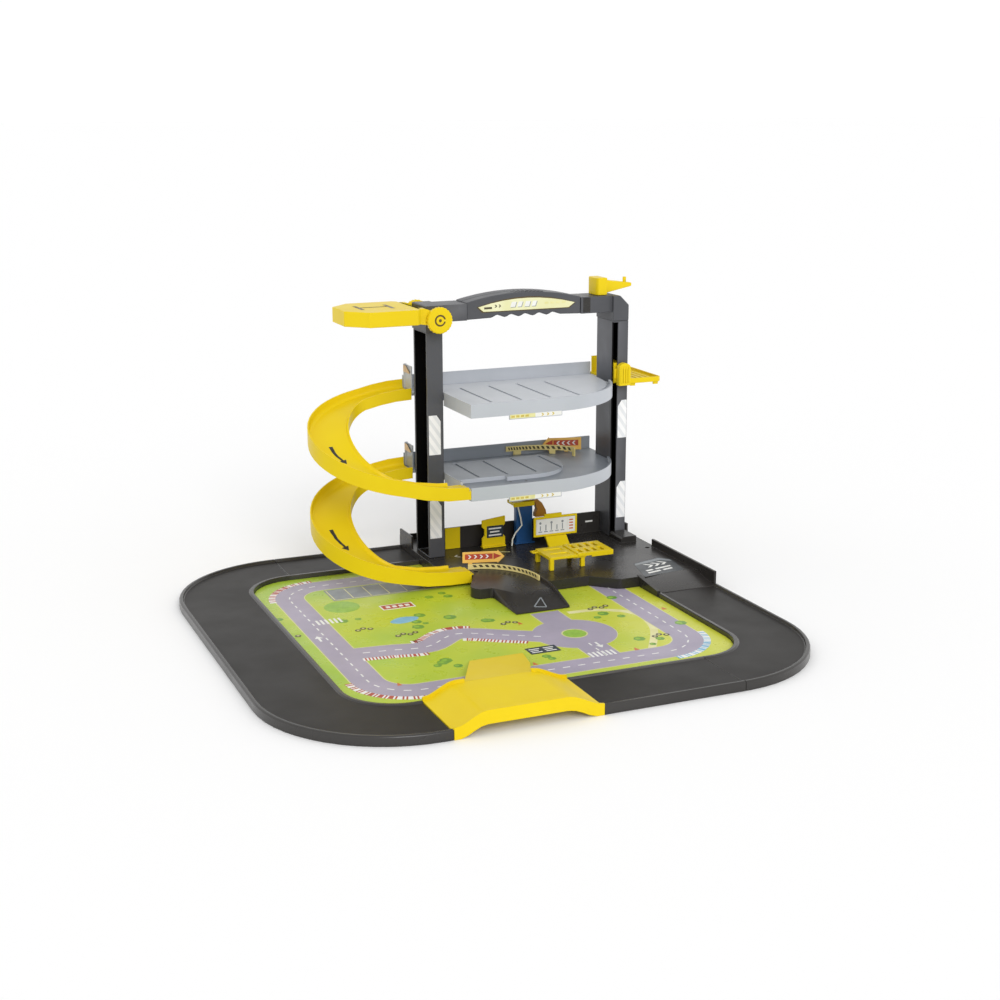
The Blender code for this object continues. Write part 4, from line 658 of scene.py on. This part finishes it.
    # bushes: the middle of each group, its spread and how many are drawn; every other one is kept
    chance = random.Random(5)
    bushes = []
    for cx, cy, spread, count in (
            (-60, 20, 40, 9), (150, -60, 26, 7), (160, -160, 22, 5), (-120, -140, 34, 8),
            (30, -160, 18, 4), (-160, 60, 16, 4), (200, 20, 10, 3), (-20, 110, 26, 6),
            (236, -120, 7, 3), (-238, 100, 5, 2), (10, -20, 18, 4)):
        for i in range(count):
            a, d = chance.uniform(0, 2 * math.pi), spread * math.sqrt(chance.random())
            bushes.append((cx + d * math.cos(a), cy + d * math.sin(a) * m["bushFlat"],
                           chance.uniform(*m["bushRadius"])))
    for i in range(0, len(bushes), 2):
        x, y, r = bushes[i]
        crown = []
        for k in range(14):
            reach, a = r * (1 + m["bushLobe"] * (k % 2)), 2 * math.pi * k / 14
            crown.append((x + reach * math.cos(a), y + reach * math.sin(a)))
        lift = m["bushStep"] * i
        printed("bush_%d" % i, "Bush", [crown], high=heights["bush"] + lift)
        printed("bushLight_%d" % i, "Leaf", [disc(x - r * 0.2, y + r * 0.2, r * 0.5, 9)],
                high=heights["bushLight"] + lift)
    pond = smoothLine([(-112, 34), (-94, 48), (-72, 42), (-78, 30), (-100, 24)], 5, True)
    printed("pond", "Sky", [pond])
    half, tip, tall = m["coneHalf"], m["coneTip"], m["coneTall"]
    printed("cones", "Orange", [
        [(x - half, y), (x + half, y), (x + tip, y + tall), (x - tip, y + tall)] for x, y in (
            (-14, -180), (-4, -184), (40, -40), (132, -186), (240, -60), (-176, -184))])
    across, aside = m["tyreStep"]
    stacks = [(x + across * i, y + aside * (i % 2)) for x, y, count in (
        (-236, 30, 1), (-120, -20, 4), (20, -30, 3), (150, -20, 4), (-70, -176, 5),
        (176, -150, 3), (-160, 20, 3)) for i in range(count)]
    printed("tyres", "Brown", [disc(x, y, m["tyre"], 12) for x, y in stacks])
    printed("tyreHoles", "Cream", [disc(x, y, m["tyreHole"], 8) for x, y in stacks])
    printed("pitBox", "White", [rect(-104, 84, -58, 104)])
    printed("pitField", "Red", [rect(-102, 86, -60, 102)])
    printed("pitBars", "White", [rect(u, 90, u + 6, 98) for u in (-97, -88, -79, -70)])
    printed("slate", "Navy", [rect(6, -150, 46, -128)])
    printed("slateBars", "White", [
        rect(u, -146 + 5.5 * j, u + 14 - 3 * (j % 2), -143.6 + 5.5 * j)
        for u in (9, 28) for j in range(3)])
    tracks = smoothLine([(116, -22), (160, -28), (196, -60), (190, -120), (150, -190)])
    printed("path", "Straw", (), [ribbon(tracks, m["pathHalf"], m["pathHalf"])])


softShell("play_mat", laminatedBoard, "printed_board", 0.4)
makeMatPrint()
print("mat printed")


def label(name, outlines, place, ink, high=0.12):
    film(name, outlines, place, inks[ink], "cream_label", high=high)


def makeHazardFilms():
    # pale striped films on the fronts of both towers, one upper corner cut
    s = {"front": 242, "spans": ((170, 227), (47, 103)), "left": (22.6, 40.4),
         "right": (322.4, 336.7), "cutWide": 6, "cutTall": 9}
    for side in ("left", "right"):
        u0, u1 = s[side]
        for k, (low, high) in enumerate(s["spans"]):
            top = [(u1, high), (u0 + s["cutWide"], high), (u0, high - s["cutTall"])]
            if side == "left":
                top = [(u1, high - s["cutTall"]), (u1 - s["cutWide"], high), (u0, high)]
            film("hazard_%s_%d" % (side, k + 1), [[(u0, low), (u1, low)] + top],
                 onFront(s["front"]), hazardFilm, "cream_label")


def makeDeckLabels():
    # label strips on the deck tabs: a tinted part with bars, a white part with chevrons
    s = {"front": 139, "left": 103, "tint": 141, "right": 181, "tall": 5.6, "bar": (105, 5),
         "arrow": (150, 2.0, 2.2), "barPitch": 7, "arrowPitch": 8, "barSpan": (1.4, 4.2)}
    place = onFront(s["front"])
    start, long = s["bar"]
    first, size, thick = s["arrow"]
    under, over = s["barSpan"]
    for name, low in (("lower", 119.2), ("upper", 235.2)):
        top = low + s["tall"]
        label("label_" + name, [rect(s["left"], low, s["right"], top)], place, "White")
        label("labelTint_" + name, [rect(s["left"], low, s["tint"], top)], place, "Straw", 0.16)
        marks = [rect(u, low + under, u + long, low + over)
                 for u in (start + s["barPitch"] * i for i in range(4))]
        marks += [chevron(first + s["arrowPitch"] * i, low + s["tall"] / 2, size, thick)
                  for i in range(3)]
        label("labelMarks_" + name, marks, place, "Gold", 0.19)


makeHazardFilms()
makeDeckLabels()


def makeRoadMarks():
    # dark bent arrows where the spirals leave the decks, and the marks of the ground floor
    s = {"low": 0.03, "high": 0.2, "shaft": 2.8, "taper": 1.0, "head": (6.2, 3.3, 0.3),
         "headStep": 4, "line": 0.75, "floor": 18, "backWall": 277}
    for node, line, top in (
            ("spiral_lower", [(-125.8, 240.4), (-124.6, 230), (-123.0, 220.2), (-116.7, 206.1)],
             250),
            ("spiral_upper", [(-124.6, 234.6), (-124.2, 226), (-122.8, 216), (-117.2, 204)], 400)):
        shaft = smoothLine(line, 5)
        widths = [s["shaft"] - s["taper"] * i / len(shaft) for i in range(len(shaft))]
        neck, along = Vector(shaft[-1]), (Vector(shaft[-1]) - Vector(shaft[-2])).normalized()
        head = [tuple(neck + along * s["headStep"] * i) for i in range(3)]
        film("wayMark_" + node, [], laidOn(shellOf(node), top), inks["Black"], "cream_label",
             low=s["low"], high=s["high"],
             ribbons=[(shaft, [(w, w) for w in widths], False),
                      (head, [(w, w) for w in s["head"]], False)])
    tip, left, right = Vector((98, 25)), Vector((80, 6)), Vector((96, 2))
    for k, (start, end) in enumerate(((left, tip), (right, tip), (left, right))):
        line = [tuple(start.lerp(end, i / 4)) for i in range(5)]
        film("rampMark_%d" % (k + 1), [], laidOn(shellOf("platform"), 60), inks["Grey"],
             "cream_label", low=s["low"], high=s["high"],
             ribbons=[ribbon(line, s["line"], s["line"])])
    label("floorMark", [[(123.3, 233.9), (140.7, 226.3), (141.6, 228.4), (124.2, 236)]],
          onLevel(s["floor"]), "Straw")
    label("laneMark", [chevron(65.3, 236.5, 5.5, 2.4, -1)], onLevel(s["floor"]), "White")
    label("wallMark", [rect(288, 34.6, 300, 37)], onFront(s["backWall"]), "White")


def makeWingLabel():
    # slate film on the side wing: a pale band across its far end, chevrons and two rows of bars
    s = {"floor": 18, "lean": 0.22, "barTall": 5,
         "outline": [(278, 101), (325, 115), (339, 100), (330, 48), (263, 38)],
         "band": [(276, 92), (279, 99), (324, 112.5), (336, 99.5), (334.6, 91), (322, 103)],
         "bars": ((276, 50, 22), (303, 56, 16), (278, 60, 12), (295, 64, 27))}
    place = onLevel(s["floor"])
    label("wingLabel", [s["outline"]], place, "Slate")
    label("wingLabelBand", [s["band"]], place, "Grey", 0.15)
    label("wingLabelMarks", [chevron(288 + 12 * i, 84 + 2.6 * i, 8, 5) for i in range(3)], place,
          "White", 0.18)
    bars = []
    for u, v, long in s["bars"]:
        rise = s["lean"] * long
        bars.append([(u, v), (u + long, v + rise), (u + long, v + s["barTall"] + rise),
                     (u, v + s["barTall"])])
    label("wingLabelBars", bars, place, "White", 0.18)


makeRoadMarks()
makeWingLabel()
print("stickers and road marks made")


def stripedFence(node, centre, low, high, count):
    # cream guide rail with dark slanted blocks pressed on its front, set out by angle
    s = {"first": 5, "sweep": 82, "foot": (0, 0.26, 0.52), "head": (0.82, 0.56, 0.3)}
    softShell(node, creamPolystyrene, "cream_fence", 0.3)
    place = facing(node, centre)
    pitch = s["sweep"] / count
    for k in range(count):
        a = s["first"] + pitch * k
        block = [(a + pitch * share, low) for share in s["foot"]]
        block += [(a + pitch * share, high) for share in s["head"]]
        film("%s_block_%d" % (node, k + 1), [block], place, inks["Brown"], "cream_fence",
             low=0.03, high=0.25)


stripedFence("fence_ground", (50.5, 80), 21.2, 24.6, 14)
stripedFence("fence_deck", (180, 285), 145.0, 149.4, 16)


def arrowSign(node, low, high, left, right, towards):
    # plate with a red field, a red tip and white chevrons; towards is 1 where it points right.
    # The shares are of the sign's length, and those of its field and its marks of its half height
    s = {"tip": 0.24, "field": 0.72, "tipTall": 0.86, "gap": 1.2, "first": 0.08, "pitch": 0.16,
         "mark": 0.48, "thick": 0.4}
    softShell(node, signPolystyrene, "orange_sign", 0.5)
    place = facing(node)
    middle, half, long = (low + high) / 2, (high - low) / 2, right - left
    tip, tail = (right, left) if towards > 0 else (left, right)
    neck = tip - towards * long * s["tip"]
    start = neck + towards * s["gap"]
    field = rect(tail, middle - half * s["field"], neck, middle + half * s["field"])
    head = [(start, middle - half * s["tipTall"]), (tip, middle),
            (start, middle + half * s["tipTall"])]
    film(node + "_field", [field, head], place, inks["Red"], "orange_sign", low=0.03, high=0.16)
    marks = [chevron(tail + towards * long * (s["first"] + s["pitch"] * i), middle,
                     half * s["mark"], half * s["thick"], towards) for i in range(4)]
    film(node + "_marks", marks, place, inks["White"], "orange_sign", low=0.03, high=0.24)


arrowSign("arrow_ground", 29.3, 40.3, 49, 99, 1)
arrowSign("arrow_deck", 145, 157.5, 244, 293, -1)


def makeNoticeBoard():
    # dark field with three white bars, every other one set in
    s = {"field": (118, 33, 144, 51), "left": 121, "right": 141, "low": 35.6, "tall": 2.2,
         "pitch": 5}
    place = facing("notice_board")
    label("boardField", [rect(*s["field"])], place, "Navy", 0.14)
    bars = []
    for i in range(3):
        low = s["low"] + s["pitch"] * i
        bars.append(rect(s["left"] + 2 * (i % 2), low, s["right"] - 3 * (i % 2), low + s["tall"]))
    label("boardBars", bars, place, "White", 0.2)


def makeToolPanel():
    # white field with a row of hanging tools, and a narrow field with a list
    s = {"front": 232, "pitch": 9, "fields": ((186.3, 37.8, 235, 59.2), (236.8, 37.8, 247.7, 59.2)),
         "hook": (189, 40.2, 195, 41.6), "list": (239, 41, 245.4, 43), "listPitch": 4.4}
    place = onFront(s["front"])
    label("panelField", [rect(*field) for field in s["fields"]], place, "White", 0.1)
    u0, v0, u1, v1 = s["hook"]
    marks = [rect(u0 + s["pitch"] * i, v0, u1 + s["pitch"] * i, v1) for i in range(5)]
    marks += [rect(191.2 + s["pitch"] * i, 42.6, 192.8 + s["pitch"] * i, 50 + 1.5 * (i % 3))
              for i in range(5)]
    marks += [disc(192 + s["pitch"] * i, 54.2, 1.9, 10) for i in range(0, 5, 2)]
    label("panelMarks", marks, place, "Grey", 0.16)
    u0, v0, u1, v1 = s["list"]
    rows = [rect(u0, v0 + s["listPitch"] * i, u1, v1 + s["listPitch"] * i) for i in range(4)]
    label("panelList", rows, place, "Orange", 0.16)


def makeBadgePrint():
    # painted shade in the recess round the badge, pale slanted bars with a drop shadow, small marks
    # beside them
    s = {"middle": (176.5, 376.0), "wider": 1.022, "taller": 1.17, "first": 150, "pitch": 11,
         "long": (7.5, 6.3), "lean": 2.6, "foot": 373.6, "top": 381}
    mesh = nodes["handle_badge"].data
    corners = {(round(v.co.x / mm, 2), round(v.co.z / mm, 2)) for v in mesh.vertices}
    mx, mz = s["middle"]
    middle = Vector((mx, mz))
    rim = [tuple(middle + Vector(((x - mx) * s["wider"], (z - mz) * s["taller"])))
           for x, z in corners]
    rim.sort(key=lambda p: math.atan2(p[1] - mz, p[0] - mx))
    # a dark film round the badge: painted shade where the badge sits in its recess
    label("badgeRecessShade", [rim], facing("handle_front"), "Umber", 0.14)
    place = facing("handle_badge")
    for name, shift, drop, ink, high in (("badgeShadow", 0.9, 0.8, "Grey", 0.12),
                                         ("badgeBars", 0, 0, "White", 0.18)):
        bars = []
        for i in range(4):
            u0 = s["first"] + s["pitch"] * i + shift
            u1, low, top = u0 + s["long"][i % 2], s["foot"] - drop, s["top"] - drop
            bars.append([(u0, low), (u1, low), (u1 + s["lean"], top), (u0 + s["lean"], top)])
        label(name, bars, place, ink, high)
    marks = [chevron(u, mz, 2.0, 2.0) for u in (126, 132)] + [rect(110, 372.4, 122, 375.2)]
    label("badgeMarks", marks, place, "Brown", 0.16)
    tail = [rect(204 + 9 * i, 375.4, 210 + 9 * i, 378.4) for i in range(4)]
    label("badgeTail", tail, place, "Straw", 0.16)


makeNoticeBoard()
makeToolPanel()
softShell("handle_badge", badgeFilm, "cream_label", 0.25)
makeBadgePrint()
print("signs and fences made")


def makeAxleTrim():
    # raised ring, hub and spoke on the front disc of the helipad's hinge, over a shaded middle
    s = {"axis": (33, 364), "face": 219.5, "shade": 8.3, "spoke": (37, 362.6, 41.4, 365.4),
         "axleRing": [(8.2, 219.6), (8.2, 218.8), (8.6, 218.5), (17.0, 218.5), (17.4, 218.8),
                      (17.4, 219.6)],
         "axleHub": [(2.2, 219.6), (2.2, 218.6), (2.5, 218.3), (5.4, 218.3), (5.8, 218.6),
                     (5.8, 219.6)]}
    for name in ("axleRing", "axleHub"):
        solidPiece(name, [(turnedRing(s["axis"], s[name]), True)], yellowAbs, "yellow_plastic",
                   "helipad")
    film("axleShade", [disc(*s["axis"], s["shade"], 24)], onFront(s["face"]), inks["Umber"],
         "yellow_plastic", "helipad", high=0.1)
    film("axleSpoke", [rect(*s["spoke"])], onFront(s["face"]), yellowAbs, "yellow_plastic",
         "helipad", high=0.9)


def makeRibs(name, s, count):
    # equal yellow ribs in a row along x, on the lift
    ribs = []
    for x in (s["left"] + s["pitch"] * i for i in range(count)):
        ribs.append(boxRows((x, s["front"], s["low"]), (x + s["wide"], s["back"], s["top"])))
    solidPiece(name, ribs, yellowAbs, "yellow_plastic", "lift", s["soft"])


def makeGripRidges():
    # ridges across the top of the handle, which follow its arch
    s = {"left": 152, "wide": 3, "pitch": 6, "front": 250.5, "back": 267.5, "low": 393.6,
         "top": 394.9, "arch": 0.002}
    ridges = []
    for i in range(9):
        x = s["left"] + s["pitch"] * i
        drop = s["arch"] * (s["pitch"] * (4 - i)) ** 2
        ridges.append(boxRows((x, s["front"], s["low"] - drop),
                              (x + s["wide"], s["back"], s["top"] - drop)))
    solidPiece("gripRidges", ridges, towerAbs, "tower_plastic", "garage", 0.4)


def makeLandingMarkShade():
    # the landing sign: painted shade on its two legs, and two lines of painted shade between them
    s = {"top": 381, "legs": ((-71, 249, -66, 289), (-27, 249, -22, 289)),
         "lines": ((-66, 266.4, -27, 267.4), (-66, 270.6, -27, 271.6))}
    film("landingLegShade", [rect(*leg) for leg in s["legs"]], onLevel(s["top"]), inks["Umber"],
         "yellow_plastic", "helipad", high=0.1)
    film("landingLineShade", [rect(*line) for line in s["lines"]], onLevel(s["top"]), inks["Umber"],
         "yellow_plastic", "helipad", low=-0.4, high=0.08)


def makeCapGapShade():
    # painted shade in the recess where the handle ends in the right cap, on its front and over its
    # top
    s = {"left": 265.5, "right": 277.2, "front": (359.8, 381), "top": (247.8, 290), "topLevel": 382}
    for name, (low, high), place in (("capFrontGapShade", s["front"], facing("right_cap")),
                                     ("capTopGapShade", s["top"], onLevel(s["topLevel"]))):
        film(name, [rect(s["left"], low, s["right"], high)], place, inks["Black"],
             "tower_plastic", high=0.08)


def makeDeckDrains():
    s = {"floor": 137, "radius": 2.2, "places": ((120, 176), (142, 172), (112, 160))}
    film("deckDrains", [disc(x, y, s["radius"]) for x, y in s["places"]], onLevel(s["floor"]),
         inks["Brown"], "deck_plastic", high=0.05)


def makeGateTops():
    # the upper third of each lane gate is a separate tan moulding, sloped towards the road
    s = {"side": 17.6, "front": 306, "slope": 322, "back": 330.5, "foot": 2, "tall": 9.8}
    for node, low in (("gate_lower", 161.5), ("gate_upper", 277.5)):
        outline = [(s["front"], low), (s["back"], low), (s["back"], low + s["tall"]),
                   (s["slope"], low + s["tall"]), (s["front"], low + s["foot"])]
        film(node + "_top", [outline], lambda u, v, h: (s["side"] - h, u, v), tanPolystyrene,
             "deck_plastic", node, low=-0.2, high=0.5)


def makeSteel():
    # turned pins and pan head screws; each screw head's cross recess is a dark film of painted
    # shade
    for node, edge in (("handle_screw_1", 0.25), ("handle_screw_2", 0.25),
                       ("handle_screw_3", 0.25), ("helipad_pin", 0.4), ("gate_lower_pin", 0.2),
                       ("gate_upper_pin", 0.2)):
        softShell(node, zincSteel, "zinc_steel", edge)
    cross = {"middles": (128.5, 173.0, 217.5), "height": 375.9, "head": 291.5, "arm": 1.7,
             "half": 0.4}
    arm, half = cross["arm"], cross["half"]
    plus = [(-half, -arm), (half, -arm), (half, -half), (arm, -half), (arm, half), (half, half),
            (half, arm), (-half, arm), (-half, half), (-arm, half), (-arm, -half), (-half, -half)]
    for k, middle in enumerate(cross["middles"]):
        film("screwCrossShade_%d" % (k + 1), [[(middle + u, cross["height"] + v) for u, v in plus]],
             lambda u, v, h: (u, cross["head"] + h, v), inks["Black"], "zinc_steel", high=0.06)


makeAxleTrim()
makeRibs("knobRibs", {"left": 319.7, "wide": 1.9, "pitch": 4.1, "front": 228.4, "back": 229.3,
                      "low": 255, "top": 279.5, "soft": 0.35}, 4)
makeGripRidges()
makeLandingMarkShade()
makeRibs("liftTreads", {"left": 343, "wide": 4, "pitch": 9, "front": 250, "back": 330,
                        "low": 254.9, "top": 255.9, "soft": 0.35}, 5)
makeCapGapShade()
makeDeckDrains()
makeGateTops()
makeSteel()
print("hardware made")


def makeCamera():
    view = {"place": (-0.73275, -1.78259, 0.65369), "azimuth": -23.1214, "elevation": 14.2705,
            "roll": -0.12, "lens": 56.09, "sensor": 36, "near": 0.05, "far": 200}
    a, e = math.radians(view["azimuth"]), math.radians(view["elevation"])
    back = Vector((math.sin(a) * math.cos(e), -math.cos(a) * math.cos(e), math.sin(e)))
    right = Vector((math.cos(a), math.sin(a), 0))
    turn = Matrix((right, back.cross(right), back)).transposed().to_4x4()
    data = bpy.data.cameras.new("camera")
    data.sensor_width = view["sensor"]
    data.lens = view["lens"]
    data.clip_start = view["near"]
    data.clip_end = view["far"]
    camera = bpy.data.objects.new("camera", data)
    camera.matrix_world = Matrix.Translation(view["place"]) @ turn @ Matrix.Rotation(
        math.radians(view["roll"]), 4, "Z")
    bpy.context.scene.collection.objects.link(camera)
    bpy.context.scene.camera = camera


def makeStage():
    # a pale floor, in metres, under a white sky that is a little brighter at the horizon
    stage = {"half": 60.0, "under": 0.0002, "colour": "#f9f9f9", "rough": 0.9, "gloss": 0.1,
             "horizon": 1.02, "zenith": 0.8}
    bpy.ops.mesh.primitive_plane_add(size=2 * stage["half"], location=(0, 0, -stage["under"]))
    floor = bpy.context.object
    floor.name = "floor"
    # matt white paper: takes soft shadows and no shine
    paper, shader = newMaterial("whitePaper", stage["rough"], gloss=stage["gloss"])
    shader.inputs["Base Color"].default_value = toLinear(stage["colour"])
    floor.data.materials.append(paper)
    world = bpy.data.worlds.new("studio")
    world.use_nodes = True
    background = world.node_tree.nodes["Background"]
    background.inputs[0].default_value = (1.0, 1.0, 1.0, 1.0)
    sky = addNode(world, "TexCoord").outputs["Generated"]
    height = addNode(world, "SeparateXYZ", None, {0: sky}).outputs[2]
    shade = between(world, height, stage["horizon"], stage["zenith"], 0.1, 0.9)
    world.node_tree.links.new(shade, background.inputs[1])
    bpy.context.scene.world = world


def makeKeyLight():
    # a far, wide soft box in front and above: even light with soft-edged shadows
    light = {"from": (-0.1, -1.0, 0.62), "angle": 30, "strength": 1.15}
    data = bpy.data.lights.new("keyLight", "SUN")
    data.angle = math.radians(light["angle"])
    data.energy = light["strength"]
    lamp = bpy.data.objects.new("keyLight", data)
    lamp.location = light["from"]
    lamp.rotation_euler = (-Vector(light["from"])).to_track_quat("-Z", "Y").to_euler()
    bpy.context.scene.collection.objects.link(lamp)


makeCamera()
makeStage()
makeKeyLight()
bpy.context.scene.view_settings.view_transform = "Standard"
print("camera and light set")
